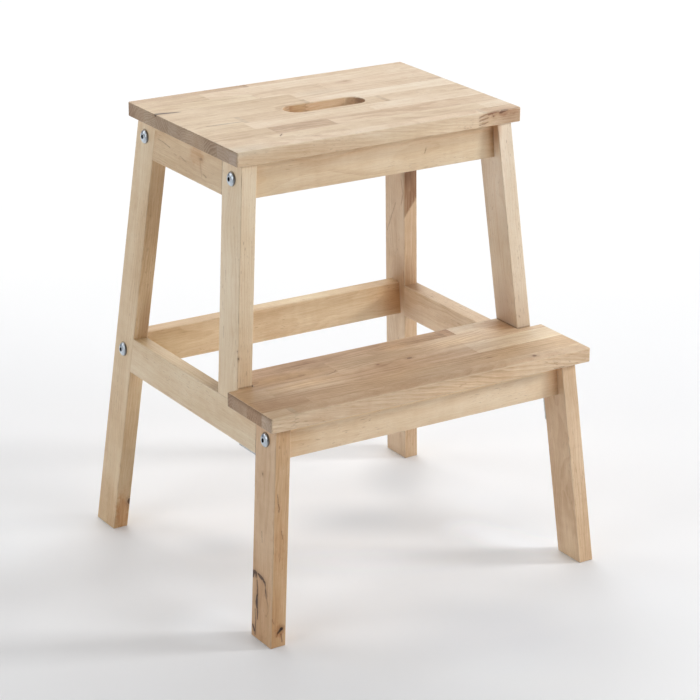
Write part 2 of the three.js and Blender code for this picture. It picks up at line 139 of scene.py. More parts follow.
def rod_bm(start, along, length, radius, segments=28, bm=None, flat=False):
    """A closed cylinder from start towards along, in mm."""
    own = bm is None
    bm = bm or bmesh.new()
    d = Vector(along).normalized()
    turn = d.to_track_quat("Z", "Y").to_matrix()
    rings = []
    for t in (0.0, length):
        ring = []
        for i in range(segments):
            q = 2 * math.pi * (i + 0.5) / segments
            ring.append(bm.verts.new((Vector(start) + d * t + turn @ Vector((radius * math.cos(q), radius * math.sin(q), 0))) * 0.001))
        rings.append(ring)
    bm.faces.new(rings[0][::-1])
    bm.faces.new(rings[1])
    for i in range(segments):
        j = (i + 1) % segments
        bm.faces.new((rings[0][i], rings[0][j], rings[1][j], rings[1][i]))
    return bm


def turned_bm(profile, start, along, segments=28, bm=None, roll=0.0):
    """A closed turned solid: profile is (radius, distance along) from one end on the axis to the other, in mm."""
    bm = bm or bmesh.new()
    d = Vector(along).normalized()
    turn = d.to_track_quat("Z", "Y").to_matrix()
    rows = []
    for r, h in profile:
        if r < 1e-6:
            rows.append([bm.verts.new((Vector(start) + d * h) * 0.001)])
        else:
            rows.append([bm.verts.new((Vector(start) + d * h + turn @ Vector((
                r * math.cos(roll + 2 * math.pi * i / segments), r * math.sin(roll + 2 * math.pi * i / segments), 0))) * 0.001)
                for i in range(segments)])
    for lo, hi in zip(rows, rows[1:]):
        for i in range(segments):
            j = (i + 1) % segments
            ring = [lo[i % len(lo)], lo[j % len(lo)], hi[j % len(hi)], hi[i % len(hi)]]
            face = list(dict.fromkeys(ring))
            if len(face) > 2:
                bm.faces.new(face)
    return bm


def boolean(mesh, steps):
    """Cuts and joins with the exact solver. steps are (operation, bmesh) in order."""
    me = mesh
    for op, bm in steps:
        bmesh.ops.recalc_face_normals(bm, faces=bm.faces)
        base = link("tmp_base", me)
        tool = link("tmp_tool", mesh_of(bm, "tmp_tool"))
        mod = base.modifiers.new("cut", "BOOLEAN")
        mod.operation = op
        mod.solver = "EXACT"
        mod.object = tool
        dg = bpy.context.evaluated_depsgraph_get()
        new = bpy.data.meshes.new_from_object(base.evaluated_get(dg))
        for o in (base, tool):
            data = o.data
            bpy.data.objects.remove(o)
            bpy.data.meshes.remove(data)
        me = new
    return me


def tidy(me, dist=2e-6):
    bm = bmesh.new()
    bm.from_mesh(me)
    bmesh.ops.remove_doubles(bm, verts=bm.verts, dist=dist)
    bmesh.ops.dissolve_degenerate(bm, edges=bm.edges, dist=dist)
    bm.to_mesh(me)
    bm.free()
    return me


def flat_and_round(me, normals, limit=0.9995, smooth_angle=50.0):
    """Split normals: faces along one of the given directions are quite flat, all others are rounded and meet them smoothly.
    Returns each corner's normal and each face's flag, 1 where it is a rounded edge or a hole."""
    dirs = np.array([list(Vector(n).normalized()) for n in normals])
    nf = len(me.polygons)
    fn = np.zeros(nf * 3)
    me.polygons.foreach_get("normal", fn)
    fn = fn.reshape(-1, 3)
    area = np.zeros(nf)
    me.polygons.foreach_get("area", area)
    flat = (fn @ dirs.T).max(1) > limit
    start, total = np.zeros(nf, int), np.zeros(nf, int)
    me.polygons.foreach_get("loop_start", start)
    me.polygons.foreach_get("loop_total", total)
    lv = np.zeros(len(me.loops), int)
    me.loops.foreach_get("vertex_index", lv)
    lf = np.repeat(np.arange(nf), total)
    order = np.concatenate([np.arange(s, s + t) for s, t in zip(start, total)]) if nf else np.zeros(0, int)
    face_of_loop = np.zeros(len(lv), int)
    face_of_loop[order] = lf
    at = {}
    for li, v in enumerate(lv):
        at.setdefault(int(v), []).append(int(face_of_loop[li]))
    cos_lim = math.cos(math.radians(smooth_angle))
    out = np.zeros((len(lv), 3))
    for li, v in enumerate(lv):
        f = int(face_of_loop[li])
        n = fn[f]
        if flat[f]:
            out[li] = n
            continue
        best, best_dot = None, cos_lim
        for g in at[int(v)]:
            if flat[g]:
                d = float(fn[g] @ n)
                if d > best_dot:
                    best, best_dot = g, d
        if best is not None:
            out[li] = fn[best]
            continue
        s = np.zeros(3)
        for g in set(at[int(v)]):
            if not flat[g] and float(fn[g] @ n) > cos_lim:
                s += fn[g] * max(area[g], 1e-12)
        k = np.linalg.norm(s)
        out[li] = s / k if k > 0 else n
    me.polygons.foreach_set("use_smooth", np.ones(nf, bool))
    me.normals_split_custom_set(out.tolist())
    return out, ~flat, face_of_loop


# ------------------------------------------------------------------ what each board is like
# tone 0 is the palest cream, 1 a mid brown; warm below 0 leans to yellow-grey, above 0 to pink.
# pith is where the tree's centre lies from the board's own middle, (across, through) in mm, and
# rings is the width of one year's ring.
def write_wood(me, frames, normals):
    """frames(face centre, face normal) gives the stave there: a dict with origin, axes (along, across, through), tone, warm, seed,
    pith, rings and, in a glued board, the stave's box (x0, x1, y0, y1). Writes the attributes that the wood's material reads."""
    corner_n, rounded, face_of_loop = flat_and_round(me, normals)
    nl, nf = len(me.loops), len(me.polygons)
    co = np.zeros(len(me.vertices) * 3)
    me.vertices.foreach_get("co", co)
    co = co.reshape(-1, 3) * 1000.0
    lv = np.zeros(nl, int)
    me.loops.foreach_get("vertex_index", lv)
    grain = np.zeros((nl, 3), np.float32)
    rim = np.zeros((nl, 4), np.float32)
    kind = np.zeros((nl, 3), np.float32)
    stave = np.zeros((nf, 3), np.float32)
    pith = np.zeros((nf, 3), np.float32)
    for f in me.polygons:
        c = Vector(f.center) * 1000.0
        s = frames(c, Vector(f.normal))
        ax = np.array([list(v) for v in s["axes"]])
        o = np.array(list(s["origin"]))
        stave[f.index] = (s["tone"], s["warm"], s["seed"])
        pith[f.index] = (s["pith"][0], s["pith"][1], s["rings"])
        li = list(range(f.loop_start, f.loop_start + f.loop_total))
        g = (co[lv[li]] - o) @ ax.T
        grain[li] = g
        lim = s.get("box")
        if lim:
            x, y = co[lv[li], 0], co[lv[li], 1]
            rim[li, 0] = y - lim[2]
            rim[li, 1] = lim[3] - y
            rim[li, 2] = x - lim[0]
            rim[li, 3] = lim[1] - x
        else:
            rim[li] = 99.0
        kind[li, 0] = np.abs(corner_n[li] @ ax[0])
        kind[li, 1] = 1.0 if rounded[f.index] else 0.0
    a = me.attributes.new("grain", "FLOAT_VECTOR", "CORNER")
    a.data.foreach_set("vector", grain.ravel())
    a = me.attributes.new("kind", "FLOAT_VECTOR", "CORNER")
    a.data.foreach_set("vector", kind.ravel())
    a = me.attributes.new("rim", "FLOAT_COLOR", "CORNER")
    a.data.foreach_set("color", rim.ravel())
    a = me.attributes.new("stave", "FLOAT_VECTOR", "FACE")
    a.data.foreach_set("vector", stave.ravel())
    a = me.attributes.new("pith", "FLOAT_VECTOR", "FACE")
    a.data.foreach_set("vector", pith.ravel())


PIECES = {}


def keep(name, me, node, material):
    o = link(name, me)
    if material is not None:
        me.materials.clear()
        me.materials.append(material)
    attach(o, "root")
    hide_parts(*([node] if isinstance(node, str) else node))
    PIECES[name] = o
    return o


def tilted(along, across, through, about_across=0.0, about_through=0.0):
    """A board's three axes with the grain turned a few degrees out of the board's own direction."""
    a, b, c = Vector(along).normalized(), Vector(across).normalized(), Vector(through).normalized()
    m = Matrix.Rotation(math.radians(about_across), 3, b) @ Matrix.Rotation(math.radians(about_through), 3, c)
    return [m @ a, m @ b, m @ c]


def stick(name, a, b, slot, material, tone, warm=0.0, seed=0.0, pith=(0.0, -90.0), rings=3.0,
          tilt=(0.0, 0.0), edge=0.9, end_a=0.0, end_b=0.0, steps=(), join=()):
    """A board or leg: ends a and b of four points each, (0 to 1 across the width, 1 to 2 through the thickness). Long edges are
    eased, ends only where asked, then the tenons are joined on and the holes cut."""
    bm, va, vb = hexa_bm(a, b)
    normals = [f.normal.copy() for f in bm.faces]
    long_edges = [e for e in bm.edges if (e.verts[0] in va) != (e.verts[1] in va)]
    bmesh.ops.bevel(bm, geom=long_edges, offset=edge * 0.001, offset_type="OFFSET", segments=4, profile=0.5,
                    affect="EDGES", clamp_overlap=True)
    for points, width in ((a, end_a), (b, end_b)):
        if width > 0:
            mid = sum((Vector(q) for q in points), Vector()) / 4 * 0.001
            bm.faces.ensure_lookup_table()
            end = min(bm.faces, key=lambda f: (f.calc_center_median() - mid).length)
            bmesh.ops.bevel(bm, geom=list(end.edges), offset=width * 0.001, offset_type="OFFSET", segments=3,
                            profile=0.5, affect="EDGES", clamp_overlap=True)
    me = mesh_of(bm, name)
    me = tidy(boolean(me, [("UNION", j) for j in join] + [("DIFFERENCE", s) for s in steps]))
    me.name = name
    ca, cb = (sum((Vector(q) for q in e), Vector()) / 4 for e in (a, b))
    along = (cb - ca).normalized()
    across = ((Vector(a[1]) - Vector(a[0])) + (Vector(a[2]) - Vector(a[3])))
    across = (across - along * across.dot(along)).normalized()
    through = along.cross(across)
    axes = tilted(along, across, through, *tilt)
    data = dict(origin=(ca + cb) / 2, axes=axes, tone=tone, warm=warm, seed=seed, pith=pith, rings=rings)
    write_wood(me, lambda c, n: data, normals)
    return keep(name, me, name, material)


def frame_prism(side, points, d0, d1):
    """A prism across a side frame: points are (y, up), from depth d0 to d1."""
    n = len(points)
    bm = bmesh.new()
    rows = [[bm.verts.new(fp(side, y, u, d) * 0.001) for y, u in points] for d in (d0, d1)]
    bm.faces.new(rows[0][::-1])
    bm.faces.new(rows[1])
    for i in range(n):
        j = (i + 1) % n
        bm.faces.new((rows[0][i], rows[0][j], rows[1][j], rows[1][i]))
    bmesh.ops.recalc_face_normals(bm, faces=bm.faces)
    return bm


M0, M1 = (LEG_T - TENON_T) / 2, (LEG_T + TENON_T) / 2


def tenon(side, face, under, towards, grow):
    low, high = under + (RAIL_H - TENON_H) / 2 - grow, under + (RAIL_H + TENON_H) / 2 + grow
    reach, root = towards * (TENON_L + grow), -towards * 4.0
    return frame_prism(side, [(face(low) + root, low), (face(low) + reach, low),
                              (face(high) + reach, high), (face(high) + root, high)], M0 - grow, M1 + grow)


def stub(side, grow):
    def y(up): return upper_front(up) + ACROSS / 2
    half, low, high = 12 + grow, RAIL_TOP_UP - TENON_L - grow, RAIL_TOP_UP + 4
    return frame_prism(side, [(y(low) - half, low), (y(low) + half, low), (y(high) + half, high), (y(high) - half, high)],
                       M0 - grow, M1 + grow)


# the bolted joints: one at each end of each cross rail
JOINTS = []
for side, word in ((-1, "left"), (1, "right")):
    for key, y, z, leg, nut_side in (
            ("upper_rear", UPPER_REAR_RAIL_Y, APRON_TOP - RAIL_H / 2, "rear", -1),
            ("upper_front", UPPER_FRONT_RAIL_Y, APRON_TOP - RAIL_H / 2, "upper_front", 1),
            ("mid_rear", MID_REAR_RAIL_Y, RAIL_TOP - RAIL_H / 2, "rear", 1),
            ("lower_front", LOWER_FRONT_RAIL_Y, RAIL_TOP - RAIL_H / 2, "lower_front", 1)):
        seat = fp(side, y, (z + BOLT_RISE) / COS)
        JOINTS.append(dict(
            name=f"{key}_{word}", side=side, rail=key, leg=leg, nut_side=nut_side, y=y, seat=seat, inward=in_of(side),
            nut=seat + in_of(side) * (LEG_T + GAP + NUT_DEPTH),
            dowel=fp(side, y, (z + BOLT_RISE + DOWEL_RISE) / COS) + in_of(side) * (LEG_T - DOWEL_IN_LEG)))


def bolt_and_dowel_holes(joints, bm=None):
    bm = bmesh.new()
    for j in joints:
        rod_bm(j["seat"] - j["inward"] * 5, j["inward"], 5 + BOLT_L + 1, 3.5, 24, bm)
        rod_bm(j["dowel"] - j["inward"] * GAP, j["inward"], DOWEL_L + 2 * GAP, DOWEL_D / 2 + GAP, 24, bm)
    return bm


def nut_holes(joints):
    bm = bmesh.new()
    for j in joints:
        rod_bm(Vector((j["nut"].x, j["y"] - j["nut_side"] * (NUT_L / 2 + GAP), j["nut"].z)),
               (0, j["nut_side"], 0), NUT_L / 2 + GAP + RAIL_T, NUT_D / 2 + 0.4, 32, bm)
    return bm


TREAD_SCREWS = []
for word, x in (("left", -85.0), ("right", 85.0)):
    TREAD_SCREWS.append(dict(name=f"top_screw_front_{word}", tread="top", rail="upper_front", head=Vector((x, UPPER_FRONT_RAIL_Y, TOP_UNDER - 18))))
    TREAD_SCREWS.append(dict(name=f"top_screw_rear_{word}", tread="top", rail="upper_rear", head=Vector((x, UPPER_REAR_RAIL_Y, TOP_UNDER - 18))))
for word, s in (("left", -1), ("right", 1)):
    for i, x in enumerate((115.0, 40.0)):
        TREAD_SCREWS.append(dict(name=f"step_screw_{word}_{i + 1}", tread="step", rail="lower_front", head=Vector((s * x, LOWER_FRONT_RAIL_Y, STEP_UNDER - 18))))


def screw_holes(screws):
    r, h = SCREW_D / 2 + 0.2, SCREW_HEAD_D / 2 + GAP
    bm = bmesh.new()
    for s in screws:
        turned_bm([(0, -60), (h, -60), (h, 0.6 + GAP), (r, 2.8 + GAP), (r, SCREW_L + GAP), (0, SCREW_L + GAP)], s["head"], (0, 0, 1), 28, bm)
    return bm


def bracket_screws(side):
    """The four small screws of a corner bracket: (name, seat, direction)."""
    def at(up): return lower_rear(up) + GAP
    top = RAIL_UNDER_UP - GAP
    lift = BRACKET_T / math.cos(LEAN)
    found = []
    for i, d in enumerate(BRACKET_SCREW_AT):
        found.append((f"rail_{i + 1}", fp(side, at(top) + d, top - BRACKET_T, LEG_T / 2), up_of(side)))
        down = top - d * math.cos(LEAN)
        forward = (Vector((0, -math.cos(LEAN), 0)) + up_of(side) * math.sin(LEAN)).normalized()
        found.append((f"leg_{i + 1}", fp(side, at(down) + lift, down, LEG_T / 2), forward))
    return found


def pilot_holes(side, which):
    bm = bmesh.new()
    for name, at, along in bracket_screws(side):
        if name.startswith(which):
            rod_bm(at - along, along, 16.3, 1.75 + GAP, 20, bm)
    return bm


# ------------------------------------------------------------------ glued-stave boards
def rounded_outline(points, radius, inset, steps=4):
    """A counterclockwise right-angled outline with rounded corners, moved in by inset."""
    out = []
    n = len(points)
    for i in range(n):
        p, a, b = Vector(points[i]), Vector(points[i - 1]), Vector(points[(i + 1) % n])
        d0, d1 = (p - a).normalized(), (b - p).normalized()
        n0, n1 = Vector((-d0.y, d0.x)), Vector((-d1.y, d1.x))
        convex = d0.x * d1.y - d0.y * d1.x > 0
        s = 1 if convex else -1
        centre = p + (n0 + n1) * radius * s
        r = radius - inset * s
        a0 = math.atan2(-n0.y * s, -n0.x * s)
        for k in range(steps + 1):
            q = a0 + s * (math.pi / 2) * k / steps
            out.append(centre + Vector((math.cos(q), math.sin(q))) * r)
    return out


def stadium(offset, steps=14):
    out = []
    run, r = (SLOT_L - SLOT_W) / 2, SLOT_W / 2 + offset
    for c, q0 in ((run, -math.pi / 2), (-run, math.pi / 2)):
        for k in range(steps + 1):
            q = q0 + math.pi * k / steps
            out.append(Vector((c + r * math.cos(q), TOP_Y + r * math.sin(q))))
    return out


def profile(z0, z1, r, steps=4):
    """(z, how far in) up the side of a board with eased edges."""
    arc = [(math.pi / 2) * k / steps for k in range(steps + 1)]
    low = [(z0 + r * (1 - math.cos(t)), r * (1 - math.sin(t))) for t in arc]
    return low + [(z1 - (z - z0), d) for z, d in reversed(low)]


def board_bm(outline, radius, z0, z1, ease, slot_ease=None):
    bm = bmesh.new()

    def wall(make, ease):
        loops = [[bm.verts.new(Vector((q.x, q.y, z)) * 0.001) for q in make(d)] for z, d in profile(z0, z1, ease)]
        for lo, hi in zip(loops, loops[1:]):
            n = len(lo)
            for i in range(n):
                j = (i + 1) % n
                bm.faces.new((lo[i], lo[j], hi[j], hi[i]))
        return loops[0], loops[-1]

    rims = [wall(lambda d: rounded_outline(outline, radius, d), ease)]
    if slot_ease:
        rims.append(wall(lambda d: stadium(d), slot_ease))
    for k in (0, 1):
        edges = []
        for rim in rims:
            loop = rim[k]
            for i in range(len(loop)):
                edges.append(bm.edges.get((loop[i], loop[(i + 1) % len(loop)])))
        bmesh.ops.triangle_fill(bm, use_beauty=True, use_dissolve=False, edges=edges)
    bmesh.ops.recalc_face_normals(bm, faces=bm.faces)
    return bm


def cut_plane(bm, faces, co, no):
    faces = list(faces)
    if faces:
        geom = set(faces)
        for f in faces:
            geom.update(f.edges)
            geom.update(f.verts)
        bmesh.ops.bisect_plane(bm, geom=list(geom), dist=1e-9, plane_co=Vector(co) * 0.001, plane_no=Vector(no))


FINGER = 5.8                      # half the length of a finger joint
FINGERS = 7                       # slopes across the board's edge


def glued_board(name, outline, z0, z1, rows, x0, y0, ease, screws, material, seed, slot_ease=None, radius=1.8):
    """rows: (v0, v1, [(u0, tone, warm, pith, rings, tilt), ...]) with v back from the front edge and u from the left end."""
    bm = board_bm(outline, radius, z0, z1, ease, slot_ease)
    me = tidy(boolean(mesh_of(bm, name), [("DIFFERENCE", screw_holes(screws))]))
    bm = bmesh.new()
    bm.from_mesh(me)
    zt, zb = z1 - ease, z0 + ease

    def mid(f):
        return f.calc_center_median() * 1000.0

    for v0, v1, staves in rows[1:]:
        cut_plane(bm, bm.faces, (0, y0 + v0, 0), (0, 1, 0))
    slot_lo, slot_hi = TOP_Y - SLOT_W / 2, TOP_Y + SLOT_W / 2
    edge_rows = [r for r in rows if r in (rows[0], rows[-1]) or (slot_ease and any(y0 + r[0] < q < y0 + r[1] for q in (slot_lo, slot_hi)))]
    for row in rows:
        v0, v1, staves = row
        for u0, *_ in staves[1:]:
            inside = [f for f in bm.faces if y0 + v0 - 1e-4 < mid(f).y < y0 + v1 + 1e-4]
            if row in edge_rows:
                for s in (-1, 1):
                    inside = [f for f in bm.faces if y0 + v0 - 1e-4 < mid(f).y < y0 + v1 + 1e-4]
                    cut_plane(bm, inside, (x0 + u0 + s * FINGER, 0, 0), (1, 0, 0))

                def panel():
                    return [f for f in bm.faces if abs(f.normal.y) > 0.999 and abs(mid(f).x - x0 - u0) < FINGER
                            and y0 + v0 - 1e-4 < mid(f).y < y0 + v1 + 1e-4 and zb - 1e-3 < mid(f).z < zt + 1e-3]
                h = (zt - zb) / FINGERS
                for k in range(1, FINGERS):
                    cut_plane(bm, panel(), (0, 0, zb + k * h), (0, 0, 1))
                for k in range(FINGERS):
                    band = [f for f in panel() if zb + k * h < mid(f).z < zb + (k + 1) * h]
                    s = 1 if k % 2 == 0 else -1
                    cut_plane(bm, band, (x0 + u0, 0, zb + (k + 0.5) * h), Vector((h, 0, -s * 2 * FINGER)).normalized())
            else:
                cut_plane(bm, inside, (x0 + u0, 0, 0), (1, 0, 0))
    bm.to_mesh(me)
    bm.free()

    def joint_x(u0, is_edge, c, n):
        if not is_edge:
            return u0
        if c.z >= zt - 1e-3:
            return u0 + FINGER
        if c.z <= zb + 1e-3:
            return u0 - FINGER
        if abs(n.y) < 0.999:
            return u0
        t = (c.z - zb) / ((zt - zb) / FINGERS)
        k = int(t)
        w = t - k
        return u0 + (2 * w - 1) * FINGER * (1 if k % 2 == 0 else -1)

    cache = {}

    def stave_at(c, n):
        v = c.y - y0
        ri = next((i for i, r in enumerate(rows) if v <= r[1] + 1e-4), len(rows) - 1)
        v0, v1, staves = rows[ri]
        is_edge = rows[ri] in edge_rows
        k = 0
        for i in range(1, len(staves)):
            if c.x - x0 > joint_x(staves[i][0], is_edge, c, n):
                k = i
        key = (ri, k)
        if key not in cache:
            rng = random.Random(seed * 1000 + ri * 31 + k)
            u0, tone, warm, pith, rings, tilt = staves[k]
            u1 = staves[k + 1][0] if k + 1 < len(staves) else 999.0
            if pith is None:
                pith = (rng.uniform(-45, 45), rng.choice((-1, 1)) * rng.uniform(12, 90))
            if rings is None:
                rings = rng.uniform(2.2, 4.2)
            if tilt is None:
                tilt = (rng.uniform(-1.6, 1.6), rng.uniform(-1.4, 1.4))
            cache[key] = dict(origin=Vector((x0 + u0 + 60, y0 + (v0 + v1) / 2, (z0 + z1) / 2)),
                              axes=tilted((1, 0, 0), (0, 1, 0), (0, 0, 1), *tilt), tone=tone, warm=warm,
                              seed=rng.uniform(0, 10), pith=pith, rings=rings,
                              box=(x0 + u0 if u0 > 0 else -9999, x0 + u1, y0 + v0 if ri else -9999, y0 + v1 if ri < len(rows) - 1 else 9999))
        return cache[key]

    write_wood(me, stave_at, [(0, 0, 1), (0, 0, -1), (1, 0, 0), (-1, 0, 0), (0, 1, 0), (0, -1, 0)])
    me.name = name
    return keep(name, me, name, material)


# ------------------------------------------------------------------ fasteners and fittings
def smooth(me, angle=35.0):
    me.polygons.foreach_set("use_smooth", np.ones(len(me.polygons), bool))
    me.set_sharp_from_angle(angle=math.radians(angle))
    return me


def threaded_rows(radius, pitch, depth, h0, h1, segments=24, per_pitch=8):
    """Rings of points for a screw thread from h0 to h1: (height, radius) for each corner, shaped as a helix."""
    n = max(2, int(round((h1 - h0) / pitch * per_pitch)))
    rows = []
    for k in range(n + 1):
        h = h0 + (h1 - h0) * k / n
        fade = min(1.0, 2.0 * k / per_pitch, 2.0 * (n - k) / per_pitch)
        ring = []
        for i in range(segments):
            t = (h / pitch - i / segments) % 1.0
            ring.append((h, radius - depth * fade * (1 - abs(2 * t - 1))))
        rows.append(ring)
    return rows


def turned_mesh(rows, segments, name):
    """A closed mesh from rings given as lists of (height, radius), or single heights on the axis, standing along +Z, in mm."""
    bm = bmesh.new()
    made = []
    for row in rows:
        if isinstance(row, (int, float)):
            made.append([bm.verts.new((0, 0, row * 0.001))])
        else:
            made.append([bm.verts.new((r * math.cos(2 * math.pi * i / segments) * 0.001, r * math.sin(2 * math.pi * i / segments) * 0.001, h * 0.001))
                         for i, (h, r) in enumerate(row)])
    for lo, hi in zip(made, made[1:]):
        for i in range(segments):
            j = (i + 1) % segments
            face = list(dict.fromkeys([lo[i % len(lo)], lo[j % len(lo)], hi[j % len(hi)], hi[i % len(hi)]]))
            if len(face) > 2:
                bm.faces.new(face)
    bmesh.ops.recalc_face_normals(bm, faces=bm.faces)
    return mesh_of(bm, name)


def ring(h, r, segments):
    return [(h, r)] * segments


def hex_tool(across_corners, z_bottom, z_top, cone=0.9):
    bm = bmesh.new()
    r = across_corners / 2
    hexa = [(r * math.cos(math.pi / 3 * i), r * math.sin(math.pi / 3 * i)) for i in range(6)]
    low = [bm.verts.new(Vector((x, y, z_bottom)) * 0.001) for x, y in hexa]
    high = [bm.verts.new(Vector((x, y, z_top)) * 0.001) for x, y in hexa]
    tip = bm.verts.new(Vector((0, 0, z_bottom - cone)) * 0.001)
    bm.faces.new(high)
    for i in range(6):
        j = (i + 1) % 6
        bm.faces.new((low[i], low[j], high[j], high[i]))
        bm.faces.new((low[j], low[i], tip))
    return bm


def cross_tool(width, length, z_bottom, z_top):
    """A tapered cross recess."""
    bm = bmesh.new()
    parts = []
    for turn in (0, 1):
        pts = []
        for z, k in ((z_bottom, 0.35), (z_top, 1.0)):
            for sx, sy in ((-1, -1), (1, -1), (1, 1), (-1, 1)):
                x, y = sx * length / 2 * k, sy * width / 2
                if turn:
                    x, y = -y, x
                pts.append(Vector((x, y, z)))
        parts.append(pts)
    tools = []
    for pts in parts:
        b, _, _ = hexa_bm(pts[:4], pts[4:])
        tools.append(b)
    return tools


def bolt_mesh():
    """A domed hexagon-socket bolt along +Z: the head's seat at 0, the shank going down."""
    n = 48
    rows = [-BOLT_L, ring(-BOLT_L, 2.3, n), ring(-BOLT_L + 0.8, 2.95, n)]
    th = threaded_rows(3.0, 1.0, 0.55, -BOLT_L + 0.9, -BOLT_L + 26.0, n, 8)
    rows += th + [ring(-BOLT_L + 26.4, 3.0, n), ring(-0.4, 3.0, n), ring(-0.02, 3.15, n)]
    head = BOLT_HEAD_D / 2
    rows += [ring(0.0, head - 0.45, n), ring(0.12, head - 0.2, n), ring(0.32, head - 0.03, n), ring(0.6, head, n)]
    for k in range(1, 15):
        t = (k / 15) * 0.5 * math.pi
        rows.append(ring(0.6 + (BOLT_HEAD_H - 0.68) * math.sin(t), head * math.cos(t) ** 0.93, n))
    rows.append(BOLT_HEAD_H - 0.08)
    me = turned_mesh(rows, n, "bolt")
    me = boolean(me, [("DIFFERENCE", hex_tool(4.6, BOLT_HEAD_H - 2.8, BOLT_HEAD_H + 2)),
                      ("DIFFERENCE", turned_bm([(0, BOLT_HEAD_H - 0.42), (2.15, BOLT_HEAD_H - 0.42), (2.75, BOLT_HEAD_H + 0.25), (2.75, BOLT_HEAD_H + 2), (0, BOLT_HEAD_H + 2)], (0, 0, 0), (0, 0, 1), 48))])
    return smooth(tidy(me), 32)


def nut_mesh():
    """A barrel nut along +Z, slotted at its upper end and bored across along X."""
    n, r, h = 48, NUT_D / 2 - 0.02, NUT_L / 2
    rows = [-h + 0.02, ring(-h + 0.02, r - 0.5, n), ring(-h + 0.15, r - 0.15, n), ring(-h + 0.5, r, n),
            ring(h - 0.5, r, n), ring(h - 0.15, r - 0.15, n), ring(h - 0.02, r - 0.5, n), h - 0.02]
    me = turned_mesh(rows, n, "nut")
    slot = hexa_bm([Vector(p) for p in ((-8, -0.6, h - 1.2), (8, -0.6, h - 1.2), (8, 0.6, h - 1.2), (-8, 0.6, h - 1.2))],
                   [Vector(p) for p in ((-8, -0.6, h + 1), (8, -0.6, h + 1), (8, 0.6, h + 1), (-8, 0.6, h + 1))])[0]
    bore = rod_bm((-12, 0, 0), (1, 0, 0), 24, 3.15, 40)
    return smooth(tidy(boolean(me, [("DIFFERENCE", slot), ("DIFFERENCE", bore)])), 32)


def tread_screw_mesh():
    """A countersunk wood screw along +Z, point up, its head's face at 0."""
    n, r, h = 32, SCREW_D / 2, SCREW_HEAD_D / 2
    rows = [0.02, ring(0.02, h - 0.3, n), ring(0.12, h - 0.06, n), ring(0.45, h - 0.02, n), ring(2.5, r, n), ring(8.0, r, n)]
    rows += threaded_rows(r, 1.8, 0.62, 8.2, SCREW_L - 4.6, n, 8)[1:]
    rows += [ring(SCREW_L - 4.4, r - 0.2, n), ring(SCREW_L - 2.2, r * 0.45, n), SCREW_L - 0.03]
    me = turned_mesh(rows, n, "tread_screw")
    tools = cross_tool(0.95, 4.4, 1.9, -0.6)
    return smooth(tidy(boolean(me, [("DIFFERENCE", t) for t in tools])), 35)


def pan_screw_mesh():
    """A small pan-head screw along +Z, point up; its head sits below 0."""
    n, r, h = 32, 1.75, 3.5
    rows = [-2.08, ring(-2.06, h * 0.3, n), ring(-1.98, h * 0.52, n), ring(-1.7, h * 0.78, n), ring(-1.25, h * 0.96, n), ring(-0.95, h - 0.01, n),
            ring(-0.3, h - 0.01, n), ring(-0.17, h - 0.15, n), ring(-0.16, r, n), ring(2.2, r, n)]
    rows += threaded_rows(r, 1.3, 0.5, 2.4, 11.2, n, 8)[1:]
    rows += [ring(11.6, r - 0.25, n), ring(13.2, r * 0.45, n), 14.97]
    me = turned_mesh(rows, n, "pan_screw")
    tools = cross_tool(0.85, 3.6, -0.9, -2.6)
    return smooth(tidy(boolean(me, [("DIFFERENCE", t) for t in tools])), 35)


def dowel_mesh():
    """A fluted beech-type dowel pin along +Z."""
    n = 48
    r = DOWEL_D / 2
    rows = [0.0]
    for h, k, flute in ((0.0, 0.80, 0.0), (0.35, 0.9, 0.3), (1.0, 0.99, 1.0), (DOWEL_L - 1.0, 0.99, 1.0), (DOWEL_L - 0.35, 0.9, 0.3), (DOWEL_L, 0.80, 0.0)):
        rows.append([(h, r * k - 0.28 * flute * max(0.0, math.cos(i * 2 * math.pi / n * 12)) ** 2) for i in range(n)])
    rows.append(DOWEL_L)
    return smooth(turned_mesh(rows, n, "dowel"), 55)


def placed(me, at, along, roll=0.0):
    """A copy of a mesh that stands along +Z, in the object's own place and direction."""
    m = me.copy()
    turn = Vector(along).normalized().to_track_quat("Z", "Y").to_matrix().to_4x4()
    m.transform(Matrix.Translation(Vector(at) * 0.001) @ turn @ Matrix.Rotation(roll, 4, "Z"))
    return m


def finish_metal(me, origin, along):
    """Writes each corner's place in the fitting's own axes, for its material."""
    turn = Vector(along).normalized().to_track_quat("Z", "Y").to_matrix()
    co = np.zeros(len(me.vertices) * 3)
    me.vertices.foreach_get("co", co)
    co = co.reshape(-1, 3) * 1000.0 - np.array(list(origin))
    local = (co @ np.array(turn)).astype(np.float32)
    a = me.attributes.new("grain", "FLOAT_VECTOR", "POINT")
    a.data.foreach_set("vector", local.ravel())


